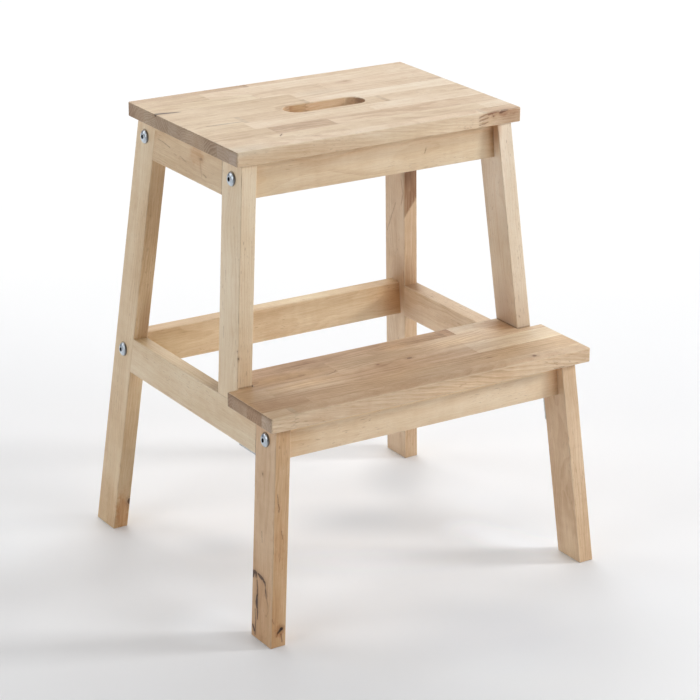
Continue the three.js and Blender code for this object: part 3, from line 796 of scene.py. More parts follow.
def bracket_mesh(side):
    """A bent steel strip with a rounded inside corner, rounded ends and four holes."""
    def at(up): return lower_rear(up) + GAP
    top = RAIL_UNDER_UP - GAP
    corner = Vector((at(top), top))
    along_rail, along_leg = Vector((1, 0)), Vector((-math.sin(LEAN), -math.cos(LEAN)))
    r_out = 2.6

    def line(offset, radius):
        """From the rail flange's end round the corner to the leg flange's end, at that distance inside the outer face."""
        # inward normals of the two flanges, in (y, up)
        n1, n2 = Vector((0, -1)), Vector((math.cos(LEAN), -math.sin(LEAN)))
        # corner of the offset lines
        a = corner + n1 * offset
        b = corner + n2 * offset
        det = along_rail.x * along_leg.y - along_rail.y * along_leg.x
        t = ((b - a).x * along_leg.y - (b - a).y * along_leg.x) / det
        c = a + along_rail * t
        half = math.acos(max(-1, min(1, along_rail.dot(along_leg)))) / 2
        back = radius / math.tan(half)
        centre = c + along_rail * back + n1 * radius
        pts = [corner + along_rail * BRACKET_RAIL_L + n1 * offset, c + along_rail * (back + 4)]
        v0, v1 = -n1, -n2
        a0, a1 = math.atan2(v0.y, v0.x), math.atan2(v1.y, v1.x)
        d = (a1 - a0 + math.pi) % (2 * math.pi) - math.pi
        for k in range(9):
            q = a0 + d * k / 8
            pts.append(centre + Vector((math.cos(q), math.sin(q))) * radius)
        pts += [c + along_leg * (back + 4), corner + along_leg * BRACKET_LEG_L + n2 * offset]
        return pts

    outer, inner = line(0.0, r_out), line(BRACKET_T, 0.6)
    # from the middle of the board outwards as drawn, and almost flush with its inner face
    d0, d1 = (LEG_T - BRACKET_W) / 2, LEG_T - 0.5
    bm = bmesh.new()
    grid = []
    widths = [d0 + (d1 - d0) * k / 6 for k in range(7)]
    for pts in (outer, inner):
        rows = []
        for i, q in enumerate(pts):
            row = []
            for k, d in enumerate(widths):
                p = q.copy()
                if i in (0, len(pts) - 1):           # a rounded end
                    e = 1 - abs(2 * k / 6 - 1)
                    pull = 3.2 * (1 - math.sin(min(1.0, e * 1.6) * math.pi / 2))
                    p += (along_rail if i == 0 else along_leg) * -pull
                row.append(bm.verts.new(fp(side, p.x, p.y, d) * 0.001))
            rows.append(row)
        grid.append(rows)
    m, w = len(outer), len(widths)
    for i in range(m - 1):
        for k in range(w - 1):
            bm.faces.new((grid[0][i][k], grid[0][i + 1][k], grid[0][i + 1][k + 1], grid[0][i][k + 1]))
            bm.faces.new((grid[1][i][k], grid[1][i][k + 1], grid[1][i + 1][k + 1], grid[1][i + 1][k]))
        for k in (0, w - 1):
            bm.faces.new((grid[0][i][k], grid[1][i][k], grid[1][i + 1][k], grid[0][i + 1][k]))
    for i in (0, m - 1):
        for k in range(w - 1):
            bm.faces.new((grid[0][i][k], grid[0][i][k + 1], grid[1][i][k + 1], grid[1][i][k]))
    bmesh.ops.recalc_face_normals(bm, faces=bm.faces)
    me = mesh_of(bm, "bracket")
    holes = bmesh.new()
    for _, at_, along in bracket_screws(side):
        rod_bm(at_ - along * 1.5, along, 5, 2.15, 32, holes)
    me = tidy(boolean(me, [("DIFFERENCE", holes)]))
    bm = bmesh.new()
    bm.from_mesh(me)
    sharp = [e for e in bm.edges if len(e.link_faces) == 2 and e.calc_face_angle(0) > math.radians(60)]
    bmesh.ops.bevel(bm, geom=sharp, offset=0.00022, offset_type="OFFSET", segments=2, profile=0.5, affect="EDGES", clamp_overlap=True)
    bm.to_mesh(me)
    bm.free()
    return smooth(me, 30)


# ------------------------------------------------------------------ materials
def srgb(r, g, b):
    """An sRGB colour given from 0 to 255, as linear numbers."""
    out = []
    for v in (r, g, b):
        v /= 255.0
        out.append(v / 12.92 if v <= 0.04045 else ((v + 0.055) / 1.055) ** 2.4)
    return tuple(out)


class Nodes:
    """Short names for the shader nodes that the materials are made of."""

    def __init__(self, name):
        self.mat = bpy.data.materials.new(name)
        self.mat.use_nodes = True
        self.t = self.mat.node_tree
        self.t.nodes.clear()
        self.out = self.t.nodes.new("ShaderNodeOutputMaterial")
        self.bsdf = self.t.nodes.new("ShaderNodeBsdfPrincipled")
        self.t.links.new(self.bsdf.outputs[0], self.out.inputs[0])

    def put(self, node, key, value):
        if value is None:
            return
        if hasattr(value, "is_output"):
            self.t.links.new(value, node.inputs[key])
        else:
            node.inputs[key].default_value = value

    def attr(self, name, what="Vector"):
        n = self.t.nodes.new("ShaderNodeAttribute")
        n.attribute_type = "GEOMETRY"
        n.attribute_name = name
        return n.outputs[what]

    def rgba(self, name):
        n = self.t.nodes.new("ShaderNodeAttribute")
        n.attribute_type = "GEOMETRY"
        n.attribute_name = name
        return n.outputs["Color"], n.outputs["Alpha"]

    def m(self, op, a, b=None, c=None, clamp=False):
        n = self.t.nodes.new("ShaderNodeMath")
        n.operation = op
        self.put(n, 0, a)
        self.put(n, 1, b)
        self.put(n, 2, c)
        return self.m("MINIMUM", self.m("MAXIMUM", n.outputs[0], 0.0), 1.0) if clamp else n.outputs[0]

    def v(self, op, a, b=None, scale=None):
        n = self.t.nodes.new("ShaderNodeVectorMath")
        n.operation = op
        self.put(n, 0, a)
        self.put(n, 1, b)
        if scale is not None:
            self.put(n, "Scale", scale)
        return n.outputs["Value"] if op in ("LENGTH", "DOT_PRODUCT", "DISTANCE") else n.outputs["Vector"]

    def sep(self, a):
        n = self.t.nodes.new("ShaderNodeSeparateXYZ")
        self.put(n, 0, a)
        return n.outputs[0], n.outputs[1], n.outputs[2]

    def com(self, x=0.0, y=0.0, z=0.0):
        n = self.t.nodes.new("ShaderNodeCombineXYZ")
        self.put(n, 0, x)
        self.put(n, 1, y)
        self.put(n, 2, z)
        return n.outputs[0]

    def noise(self, vec, scale=(1, 1, 1), detail=2.0, rough=0.5, distortion=0.0, colour=False):
        n = self.t.nodes.new("ShaderNodeTexNoise")
        self.put(n, "Vector", self.v("MULTIPLY", vec, scale))
        self.put(n, "Scale", 1.0)
        self.put(n, "Detail", detail)
        self.put(n, "Roughness", rough)
        self.put(n, "Distortion", distortion)
        return n.outputs["Color" if colour else "Fac"]

    def span(self, x, a, b, lo=0.0, hi=1.0, smooth=True):
        n = self.t.nodes.new("ShaderNodeMapRange")
        n.interpolation_type = "SMOOTHSTEP" if smooth else "LINEAR"
        n.clamp = not smooth
        for k, val in zip((0, 1, 2, 3, 4), (x, a, b, lo, hi)):
            self.put(n, k, val)
        return n.outputs[0]

    def mix(self, f, a, b, blend="MIX"):
        n = self.t.nodes.new("ShaderNodeMix")
        n.data_type = "RGBA"
        n.blend_type = blend
        n.clamp_factor = True
        self.put(n, 0, f)
        for key, val in ((6, a), (7, b)):
            if isinstance(val, tuple):
                val = (*val, 1.0)
            self.put(n, key, val)
        return n.outputs[2]

    def ramp(self, f, stops):
        n = self.t.nodes.new("ShaderNodeValToRGB")
        n.color_ramp.interpolation = "LINEAR"
        el = n.color_ramp.elements
        while len(el) < len(stops):
            el.new(0.5)
        for e, (p, c) in zip(el, stops):
            e.position = p
            e.color = (*c, 1.0)
        self.put(n, 0, f)
        return n.outputs[0]

    def bump(self, height, strength, distance, normal=None):
        n = self.t.nodes.new("ShaderNodeBump")
        self.put(n, "Strength", strength)
        self.put(n, "Distance", distance)
        self.put(n, "Height", height)
        self.put(n, "Normal", normal)
        return n.outputs[0]

    def where(self):
        """Place on the stool in mm."""
        n = self.t.nodes.new("ShaderNodeTexCoord")
        return self.v("SCALE", n.outputs["Object"], scale=1000.0)


def wood(name, marks=(), lift=0.0, grain_depth=1.0, cast=None):
    """Pale birch-like wood, oiled: year rings round a pith, fibres, flecks, pores, cloudy tone, glue lines, darker end
    grain and paler eased edges, partly rubbed and partly a painted highlight. marks are (kind, points or centre, size,
    darkness, colour) in the stool's own mm;
    the shade, half, seat and hand-slot marks are painted light and shade."""
    k = Nodes(name)
    g = k.attr("grain")
    tone, warm, seed = k.sep(k.attr("stave"))
    pb, pc, width = k.sep(k.attr("pith"))
    along_n, rounded, _ = k.sep(k.attr("kind"))
    rim, rim_a = k.rgba("rim")
    r1, r2, r3 = k.sep(rim)

    shift = k.com(k.m("MULTIPLY", seed, 611.0), k.m("MULTIPLY", seed, 173.0), k.m("MULTIPLY", seed, 97.0))
    p = k.v("ADD", g, shift)
    end = k.span(along_n, 0.62, 0.93)

    # the tree's rings, waved by slow and quick wandering of the grain
    w1 = k.v("SUBTRACT", k.noise(p, (0.0065, 0.022, 0.022), 1.0, colour=True), (0.5, 0.5, 0.5))
    w2 = k.v("SUBTRACT", k.noise(p, (0.03, 0.07, 0.07), 1.0, colour=True), (0.5, 0.5, 0.5))
    warp = k.v("ADD", k.v("SCALE", w1, scale=20.0), k.v("SCALE", w2, scale=3.2))
    gx, gy, gz = k.sep(k.v("ADD", g, warp))
    dy, dz = k.m("SUBTRACT", gy, pb), k.m("SUBTRACT", gz, pc)
    radius = k.v("LENGTH", k.com(0.0, dy, dz))
    uneven = k.m("MULTIPLY", k.noise(k.com(radius, seed, 0.0), (0.11, 3.0, 1.0), 1.0), 2.4)
    phase = k.m("FRACT", k.m("ADD", k.m("DIVIDE", radius, width), uneven))
    late = k.m("MULTIPLY", k.span(phase, 0.25, 0.92), k.span(phase, 0.94, 1.0, 1.0, 0.0))
    ring_strength = k.span(k.noise(p, (0.008, 0.03, 0.03), 1.0), 0.3, 0.7, 0.35, 1.0)
    late = k.m("MULTIPLY", late, ring_strength)

    # fibres, pores and flecks along the grain
    q = k.v("ADD", p, k.v("SCALE", w2, scale=2.0))
    fibre = k.noise(q, (0.022, 0.75, 0.75), 3.0, 0.6)
    fine = k.noise(q, (0.09, 2.6, 2.6), 2.0, 0.6)
    pores = k.span(k.noise(q, (0.30, 4.2, 4.2), 0.0), 0.70, 0.80)
    fleck_at = k.span(k.noise(p, (0.012, 0.035, 0.035), 1.0), 0.42, 0.62)
    flecks = k.m("MULTIPLY", k.span(k.noise(q, (0.13, 0.85, 0.85), 1.0), 0.655, 0.735), fleck_at)
    cloud = k.noise(p, (0.0085, 0.034, 0.034), 2.0, 0.55)
    curl = k.noise(p, (0.10, 0.028, 0.028), 1.0)

    t = k.m("ADD", tone, lift)
    t = k.m("ADD", t, k.m("MULTIPLY", k.m("SUBTRACT", cloud, 0.5), 0.74))
    t = k.m("ADD", t, k.m("MULTIPLY", late, 0.16 * grain_depth))
    t = k.m("ADD", t, k.m("MULTIPLY", k.m("SUBTRACT", fibre, 0.5), 0.46 * grain_depth))
    t = k.m("ADD", t, k.m("MULTIPLY", k.m("SUBTRACT", fine, 0.5), 0.42 * grain_depth))
    t = k.m("ADD", t, k.m("MULTIPLY", k.m("SUBTRACT", curl, 0.5), 0.17))
    colour = k.ramp(k.m("ADD", k.m("MULTIPLY", t, 0.62), 0.16, clamp=True), [
        (0.0, srgb(249, 236, 215)), (0.22, srgb(240, 222, 197)), (0.42, srgb(227, 202, 171)),
        (0.62, srgb(208, 176, 141)), (0.82, srgb(181, 145, 110)), (1.0, srgb(141, 103, 74))])
    pinker = k.m("ADD", warm, k.m("MULTIPLY", k.m("SUBTRACT", k.noise(p, (0.011, 0.05, 0.05), 1.0), 0.5), 0.6))
    colour = k.mix(k.span(pinker, 0.0, 1.0, 0.0, 0.75, smooth=False), colour, k.mix(1.0, colour, (1.02, 0.955, 0.935), "MULTIPLY"))
    colour = k.mix(k.span(pinker, 0.0, -1.0, 0.0, 0.75, smooth=False), colour, k.mix(1.0, colour, (0.965, 0.985, 0.925), "MULTIPLY"))
    colour = k.mix(k.m("MULTIPLY", flecks, 0.42), colour, srgb(150, 108, 74))
    colour = k.mix(k.m("MULTIPLY", pores, k.m("SUBTRACT", 0.22, k.m("MULTIPLY", end, 0.1))), colour, srgb(128, 92, 62))

    # end grain: darker and greyer, with plain rings and open pores
    dots = k.span(k.noise(p, (0.05, 3.6, 3.6), 1.0), 0.50, 0.72)
    end_colour = k.mix(1.0, colour, k.mix(k.m("ADD", k.m("MULTIPLY", late, 0.5), k.m("MULTIPLY", dots, 0.45)), (0.665, 0.65, 0.705), (0.475, 0.455, 0.485)), "MULTIPLY")
    colour = k.mix(end, colour, end_colour)

    # glue lines between the staves
    near = k.m("MINIMUM", k.m("MINIMUM", r1, r2), k.m("MINIMUM", r3, rim_a))
    line = k.m("MULTIPLY", k.span(near, 0.05, 0.32, 1.0, 0.0), k.noise(p, (0.02, 0.3, 0.3), 1.0))
    colour = k.mix(k.m("MULTIPLY", line, 0.42), colour, srgb(132, 97, 68))

    if cast:
        colour = k.mix(1.0, colour, cast, "MULTIPLY")

    # knots, streaks and stains in the wood, and painted light and shade: soft patches, whole faces, the hand slot's
    # walls and rings round the bolt heads
    height_marks = None
    if marks:
        place = k.where()
        wob = k.v("SUBTRACT", k.noise(place, (0.16, 0.16, 0.16), 3.0, 0.6, colour=True), (0.5, 0.5, 0.5))
        fine_wob = k.v("SUBTRACT", k.noise(place, (0.9, 0.9, 0.9), 2.0, 0.6, colour=True), (0.5, 0.5, 0.5))
        for kind, where, size, dark, tint in marks:
            wander, quick = {"line": (2.2, 0.7), "knot": (1.6, 0.8), "stain": (14.0, 1.6), "crack": (0.5, 0.3), "slot_shade": (0.0, 0.0), "seam": (0.25, 0.25), "half": (5.0, 1.2), "seat": (0.3, 0.2), "shade": (0.0, 0.0)}[kind]
            here = k.v("ADD", place, k.v("ADD", k.v("SCALE", wob, scale=wander), k.v("SCALE", fine_wob, scale=quick)))
            if kind in ("line", "crack", "seam"):
                near_mark = None
                for (pa, wa), (pb_, wb) in zip(zip(where, size), zip(where[1:], size[1:])):
                    d = Vector(pb_) - Vector(pa)
                    rel = k.v("SUBTRACT", here, tuple(pa))
                    h = k.m("DIVIDE", k.v("DOT_PRODUCT", rel, tuple(d)), d.length_squared, clamp=True)
                    off = k.v("LENGTH", k.v("SUBTRACT", rel, k.v("SCALE", k.com(*d), scale=h)))
                    w = k.m("ADD", wa, k.m("MULTIPLY", h, wb - wa))
                    one = k.m("DIVIDE", off, w)
                    near_mark = one if near_mark is None else k.m("MINIMUM", near_mark, one)
                mask = k.span(near_mark, 0.45, 1.0, 1.0, 0.0)
                halo = k.span(near_mark, 0.6, 3.2, 1.0, 0.0)
                colour = k.mix(k.m("MULTIPLY", halo, dark * (0.1 if kind == "seam" else 0.24)), colour, k.mix(0.4, srgb(172, 122, 78), tint))
                colour = k.mix(k.m("MULTIPLY", mask, dark), colour, tint)
            # a half mark is painted shade: it tints the part of a board beyond some planes, such as a face that gets
            # less light
            elif kind == "half":
                mask = None
                for (pa, no), soft, steady in zip(where, size, (False, True, True)):
                    d = k.v("DOT_PRODUCT", k.v("SUBTRACT", place if steady else here, tuple(pa)), tuple(no))
                    one = k.span(d, -soft, soft)
                    mask = one if mask is None else k.m("MULTIPLY", mask, one)
                streak = k.span(fibre, 0.3, 0.7, 0.75, 1.0)
                colour = k.mix(k.m("MULTIPLY", k.m("MULTIPLY", mask, streak), dark), colour, k.mix(1.0, colour, tint, "MULTIPLY"))
                continue
            # painted shade on the walls of the hand slot, from just under the top face down
            elif kind == "slot_shade":
                ax, ay, az = k.sep(k.v("ABSOLUTE", k.v("SUBTRACT", place, tuple(where))))
                _, _, pz = k.sep(place)
                mask = k.m("MULTIPLY", k.m("MULTIPLY", k.span(ax, size[0] - 6, size[0] + 2, 1.0, 0.0), k.span(ay, size[1] - 0.5, size[1] + 0.5, 1.0, 0.0)),
                           k.span(pz, where[2] - size[2], where[2], 1.0, 0.0))
                streak = k.span(fibre, 0.3, 0.7, 0.8, 1.0)
                colour = k.mix(k.m("MULTIPLY", k.m("MULTIPLY", mask, streak), dark), colour, k.mix(1.0, colour, tint, "MULTIPLY"))
                continue
            else:
                rel = k.v("DIVIDE", k.v("SUBTRACT", here, tuple(where)), tuple(size))
                dist = k.v("LENGTH", rel)
                if kind == "knot":
                    rings = k.m("MULTIPLY", k.m("SINE", k.m("MULTIPLY", dist, 11.0)), k.span(dist, 0.9, 2.6, 0.13, 0.0))
                    colour = k.mix(k.m("ADD", k.m("MULTIPLY", k.span(dist, 0.8, 2.7, 1.0, 0.0), dark * 0.42), rings, clamp=True), colour, k.mix(0.4, srgb(178, 126, 82), tint))
                    mask = k.span(dist, 0.55, 1.05, 1.0, 0.0)
                    colour = k.mix(k.m("MULTIPLY", mask, dark), colour, tint)
                # a shade mark is painted light and shade: a soft patch that darkens with a tint below 1 and lightens
                # with a tint above 1
                elif kind == "shade":
                    colour = k.mix(k.m("MULTIPLY", k.span(dist, 0.1, 1.0, 1.0, 0.0), dark), colour, k.mix(1.0, colour, tint, "MULTIPLY"))
                    continue
                # a seat mark is a painted shadow: a dark ring round a bolt head, set off-centre so that it shows on one
                # side
                elif kind == "seat":
                    colour = k.mix(k.m("MULTIPLY", k.span(dist, 0.94, 1.06, 1.0, 0.0), dark), colour, k.mix(1.0, colour, tint, "MULTIPLY"))
                    continue
                else:
                    mask = k.span(dist, 0.55, 1.15, 1.0, 0.0)
                    streak = k.span(fibre, 0.3, 0.7, 0.7, 1.0)
                    colour = k.mix(k.m("MULTIPLY", k.m("MULTIPLY", mask, streak), dark), colour, k.mix(1.0, colour, tint, "MULTIPLY"))
                    continue
            sunk = k.m("MULTIPLY", mask, -1.0 if kind == "crack" else -0.25)
            height_marks = sunk if height_marks is None else k.m("MINIMUM", height_marks, sunk)

    # eased edges are a little paler, partly rubbed and partly a painted highlight, and smoother, with small knocks
    knocks = k.span(k.noise(k.v("ADD", p, shift), (0.045, 0.3, 0.3), 2.0), 0.56, 0.66)
    colour = k.mix(k.m("MULTIPLY", rounded, k.m("SUBTRACT", 0.30, k.m("MULTIPLY", end, 0.22))), colour, srgb(240, 221, 192))
    colour = k.mix(k.m("MULTIPLY", k.m("MULTIPLY", rounded, knocks), 0.28), colour, srgb(158, 122, 90))
    k.put(k.bsdf, "Base Color", colour)

    rough = k.m("ADD", 0.43, k.m("MULTIPLY", k.m("SUBTRACT", fibre, 0.5), 0.22))
    rough = k.m("ADD", rough, k.m("MULTIPLY", k.m("SUBTRACT", cloud, 0.5), 0.14))
    rough = k.m("ADD", rough, k.m("MULTIPLY", end, 0.16))
    rough = k.m("SUBTRACT", rough, k.m("MULTIPLY", rounded, 0.05))
    k.put(k.bsdf, "Roughness", rough)
    k.put(k.bsdf, "Specular IOR Level", 0.42)
    k.put(k.bsdf, "IOR", 1.48)

    height = k.m("ADD", k.m("MULTIPLY", fibre, 0.45), k.m("MULTIPLY", fine, 0.35))
    height = k.m("SUBTRACT", height, k.m("MULTIPLY", pores, 0.5))
    height = k.m("SUBTRACT", height, k.m("MULTIPLY", k.m("MULTIPLY", end, dots), 0.6))
    height = k.m("SUBTRACT", height, k.m("MULTIPLY", late, 0.12))
    height = k.m("SUBTRACT", height, k.m("MULTIPLY", line, 0.5))
    height = k.m("SUBTRACT", height, k.m("MULTIPLY", k.m("MULTIPLY", rounded, knocks), 0.8))
    if height_marks is not None:
        height = k.m("ADD", height, height_marks)
    k.put(k.bsdf, "Normal", k.bump(height, 0.35, 0.00018))
    return k.mat


def metal(name, base, dark, rough, scratch=0.12, socketed=0.0):
    """Zinc-plated steel: cloudy passivated film, fine turned or rolled lines, small pits and rubbed places; on a bolt
    head, painted dark reflections and a socket painted near black.
    """
    k = Nodes(name)
    g = k.attr("grain")
    place = k.where()
    cloud = k.noise(place, (0.55, 0.55, 0.55), 3.0, 0.6)
    spangle = k.noise(place, (2.6, 2.6, 2.6), 2.0, 0.5)
    lines = k.noise(g, (0.35, 0.35, 9.0), 2.0, 0.6)
    pits = k.span(k.noise(place, (6.0, 6.0, 6.0), 1.0), 0.66, 0.76)
    colour = k.mix(k.span(cloud, 0.35, 0.68), base, dark)
    colour = k.mix(k.m("MULTIPLY", k.span(spangle, 0.45, 0.7), 0.22), colour, (0.93, 0.94, 0.95))
    colour = k.mix(k.m("MULTIPLY", pits, 0.5), colour, (0.16, 0.17, 0.18))
    gx, gy, gz = k.sep(g)
    # the hex socket of a bolt head is painted near black: painted shade in the recess, with some dirt
    socket = k.m("MULTIPLY", k.span(k.v("LENGTH", k.com(gx, gy, 0.0)), 2.25, 2.6, 1.0, 0.0), socketed)
    if socketed:
        # painted dark reflections: a patch above the socket and a dark rim round the edge of the head
        dark_reflection_patch = k.span(k.v("LENGTH", k.com(k.m("ADD", gx, 1.9), k.m("SUBTRACT", gy, 4.6), 0.0)), 1.0, 3.5, 0.85, 0.0)
        rim = k.span(k.v("LENGTH", k.com(k.m("ADD", gx, 1.5), k.m("ADD", gy, 0.4), 0.0)), 7.5, 8.7, 0.0, 0.8)
        colour = k.mix(dark_reflection_patch, colour, (0.20, 0.235, 0.30))
        colour = k.mix(rim, colour, (0.17, 0.165, 0.16))
    colour = k.mix(k.m("MULTIPLY", socket, 0.94), colour, (0.030, 0.032, 0.036))
    k.put(k.bsdf, "Base Color", colour)
    k.put(k.bsdf, "Metallic", 1.0)
    r = k.m("ADD", rough, k.m("MULTIPLY", k.m("SUBTRACT", cloud, 0.5), 0.22))
    r = k.m("ADD", r, k.m("MULTIPLY", k.m("SUBTRACT", lines, 0.5), scratch))
    r = k.m("ADD", r, k.m("MULTIPLY", pits, 0.2))
    r = k.m("ADD", r, k.m("MULTIPLY", socket, 0.3))
    k.put(k.bsdf, "Roughness", r)
    h = k.m("SUBTRACT", k.m("ADD", k.m("MULTIPLY", lines, 0.5), k.m("MULTIPLY", spangle, 0.3)), pits)
    k.put(k.bsdf, "Normal", k.bump(h, 0.25, 0.00004))
    return k.mat


def floor_material():
    """A plain pale studio floor that runs up into a white backdrop, with painted shade and painted pools of light and
    shadow round the stool.
    """
    k = Nodes("studio_floor")
    place = k.where()
    soft = k.noise(place, (0.004, 0.004, 0.004), 2.0)
    grit = k.noise(place, (0.5, 0.5, 0.5), 3.0)
    v = k.m("ADD", 0.0, k.m("MULTIPLY", k.m("SUBTRACT", soft, 0.5), 0.02))
    away = k.v("DOT_PRODUCT", place, (0.539, 0.842, 0.0))
    aside = k.v("DOT_PRODUCT", place, (0.842, -0.539, 0.0))
    # painted shade: the floor darker towards the near left
    shade = k.m("MULTIPLY", k.span(aside, -300.0, 260.0, 1.0, 0.0), k.span(away, -330.0, 150.0, 1.0, 0.0))
    pale = k.mix(k.m("ADD", 0.5, v), FLOOR_A, FLOOR_B)
    base = k.mix(shade, pale, k.mix(1.0, pale, (0.87, 0.87, 0.87), "MULTIPLY"))
    painted_glow = (0.0, 0.0, 0.0)
    # painted pools: each adds a glow as emission (painted light) or darkens the colour (painted shadow)
    for (fx, fy), (rx, ry), tint, adds_glow in LIGHT_AND_SHADOW_POOLS:
        dist = k.v("LENGTH", k.v("DIVIDE", k.v("SUBTRACT", k.com(away, aside, 0.0), (fx, fy, 0.0)), (rx, ry, 1.0)))
        mask = k.span(dist, 0.0, 1.0, 1.0, 0.0)
        if adds_glow:
            painted_glow = k.mix(mask, painted_glow, k.mix(1.0, painted_glow, tint, "ADD"))
        else:
            base = k.mix(mask, base, k.mix(1.0, base, tint, "MULTIPLY"))
    k.put(k.bsdf, "Base Color", base)
    k.put(k.bsdf, "Emission Color", painted_glow)
    k.put(k.bsdf, "Emission Strength", 1.0)
    k.put(k.bsdf, "Roughness", k.m("ADD", 0.62, k.m("MULTIPLY", grit, 0.12)))
    k.put(k.bsdf, "Specular IOR Level", 0.2)
    lit = k.t.nodes.new("ShaderNodeEmission")
    lit.inputs["Color"].default_value = (1.0, 1.0, 1.0, 1.0)
    lit.inputs["Strength"].default_value = 1.02
    both = k.t.nodes.new("ShaderNodeMixShader")
    k.put(both, 0, k.span(away, FADE_NEAR, FADE_FAR))
    k.t.links.new(k.bsdf.outputs[0], both.inputs[1])
    k.t.links.new(lit.outputs[0], both.inputs[2])
    k.t.links.new(both.outputs[0], k.out.inputs[0])
    return k.mat


FLOOR_A, FLOOR_B = (0.898, 0.905, 0.920), (0.908, 0.915, 0.930)
# painted pools on the floor: centre and reach along and across the view (mm), tint, and whether it is painted light (a
# glow) or painted shadow
LIGHT_AND_SHADOW_POOLS = [
    ((-60.0, 60.0), (420.0, 430.0), (0.003, 0.018, 0.032), True),
    ((-25.0, 200.0), (95.0, 190.0), (0.052, 0.057, 0.060), True),
    ((105.0, 150.0), (75.0, 90.0), (0.030, 0.036, 0.040), True),
    ((-212.0, -108.0), (95.0, 95.0), (0.030, 0.032, 0.034), True),
    ((-110.0, 0.0), (110.0, 150.0), (0.042, 0.048, 0.052), True),
    ((50.0, 20.0), (75.0, 130.0), (0.79, 0.80, 0.81), False),
    ((170.0, 62.0), (110.0, 55.0), (0.84, 0.85, 0.86), False),
    ((-20.0, -140.0), (48.0, 60.0), (0.88, 0.89, 0.90), False),
    ((-61.0, 30.0), (46.0, 170.0), (0.100, 0.108, 0.122), True),
    ((-15.0, 222.0), (32.0, 42.0), (0.130, 0.138, 0.155), True),
    ((3.0, 185.0), (42.0, 48.0), (0.135, 0.145, 0.160), True),
    ((28.0, 150.0), (42.0, 48.0), (0.100, 0.108, 0.125), True),
    ((-222.0, -138.0), (60.0, 60.0), (0.070, 0.078, 0.086), True),
    ((-185.0, 145.0), (60.0, 110.0), (0.94, 0.945, 0.95), False),
    ((-315.0, 165.0), (90.0, 120.0), (0.045, 0.050, 0.052), True),
    ((-250.0, 170.0), (110.0, 170.0), (0.93, 0.93, 0.94), False),
    ((-330.0, 330.0), (280.0, 280.0), (0.078, 0.080, 0.082), True),
    ((-400.0, 120.0), (110.0, 160.0), (0.040, 0.044, 0.048), True),
    ((-20.0, -370.0), (150.0, 140.0), (0.116, 0.120, 0.124), True),
]
FADE_NEAR, FADE_FAR = 350.0, 1250.0


# ------------------------------------------------------------------ the boards' marks, and the light and shade painted on them
SL, CL = math.sin(LEAN), math.cos(LEAN)


def on_top(u, v, z=HEIGHT): return (-TOP_L / 2 + u, TOP_Y - TOP_D / 2 + v, z)
def on_step(u, v, z=STEP_UNDER + TREAD_T): return (-STEP_L / 2 + u, STEP_FRONT_Y + v, z)
def lower_out(w, l): return tuple(fp(-1, -HALF_DEPTH + w + SL * l, CL * l, 0))
def upper_out(w, l): return tuple(fp(-1, upper_front(236) + w + SL * l, 236 + CL * l, 0))
def rear_out(w, l): return tuple(fp(-1, HALF_DEPTH - w - SL * l, CL * l, 0))
def lower_face(side, d, l): return tuple(fp(side, lower_front(CL * l), CL * l, d))
def upper_face(side, d, l): return tuple(fp(side, upper_front(236 + CL * l), 236 + CL * l, d))
def rear_face_front(side, d, l): return tuple(fp(side, rear_leg_front(CL * l), CL * l, d))
def rear_leg_in(w, l): return tuple(fp(1, HALF_DEPTH - w - SL * l, CL * l, LEG_T))


DARK, BROWN, RUST = srgb(60, 36, 28), srgb(122, 78, 46), srgb(154, 100, 62)


def facing(side, rear):
    """Outward direction of a leg's front face."""
    return Vector((0, -CL, 0)) + up_of(side) * (-SL if rear else SL)


def skin(side, rear, point, first=None):
    """Planes that keep a mark within a millimetre of a leg's front face."""
    n = facing(side, rear)
    return [first or (tuple(Vector(point) - n * 20), tuple(n)), (tuple(Vector(point) - n * 0.9), tuple(n))]


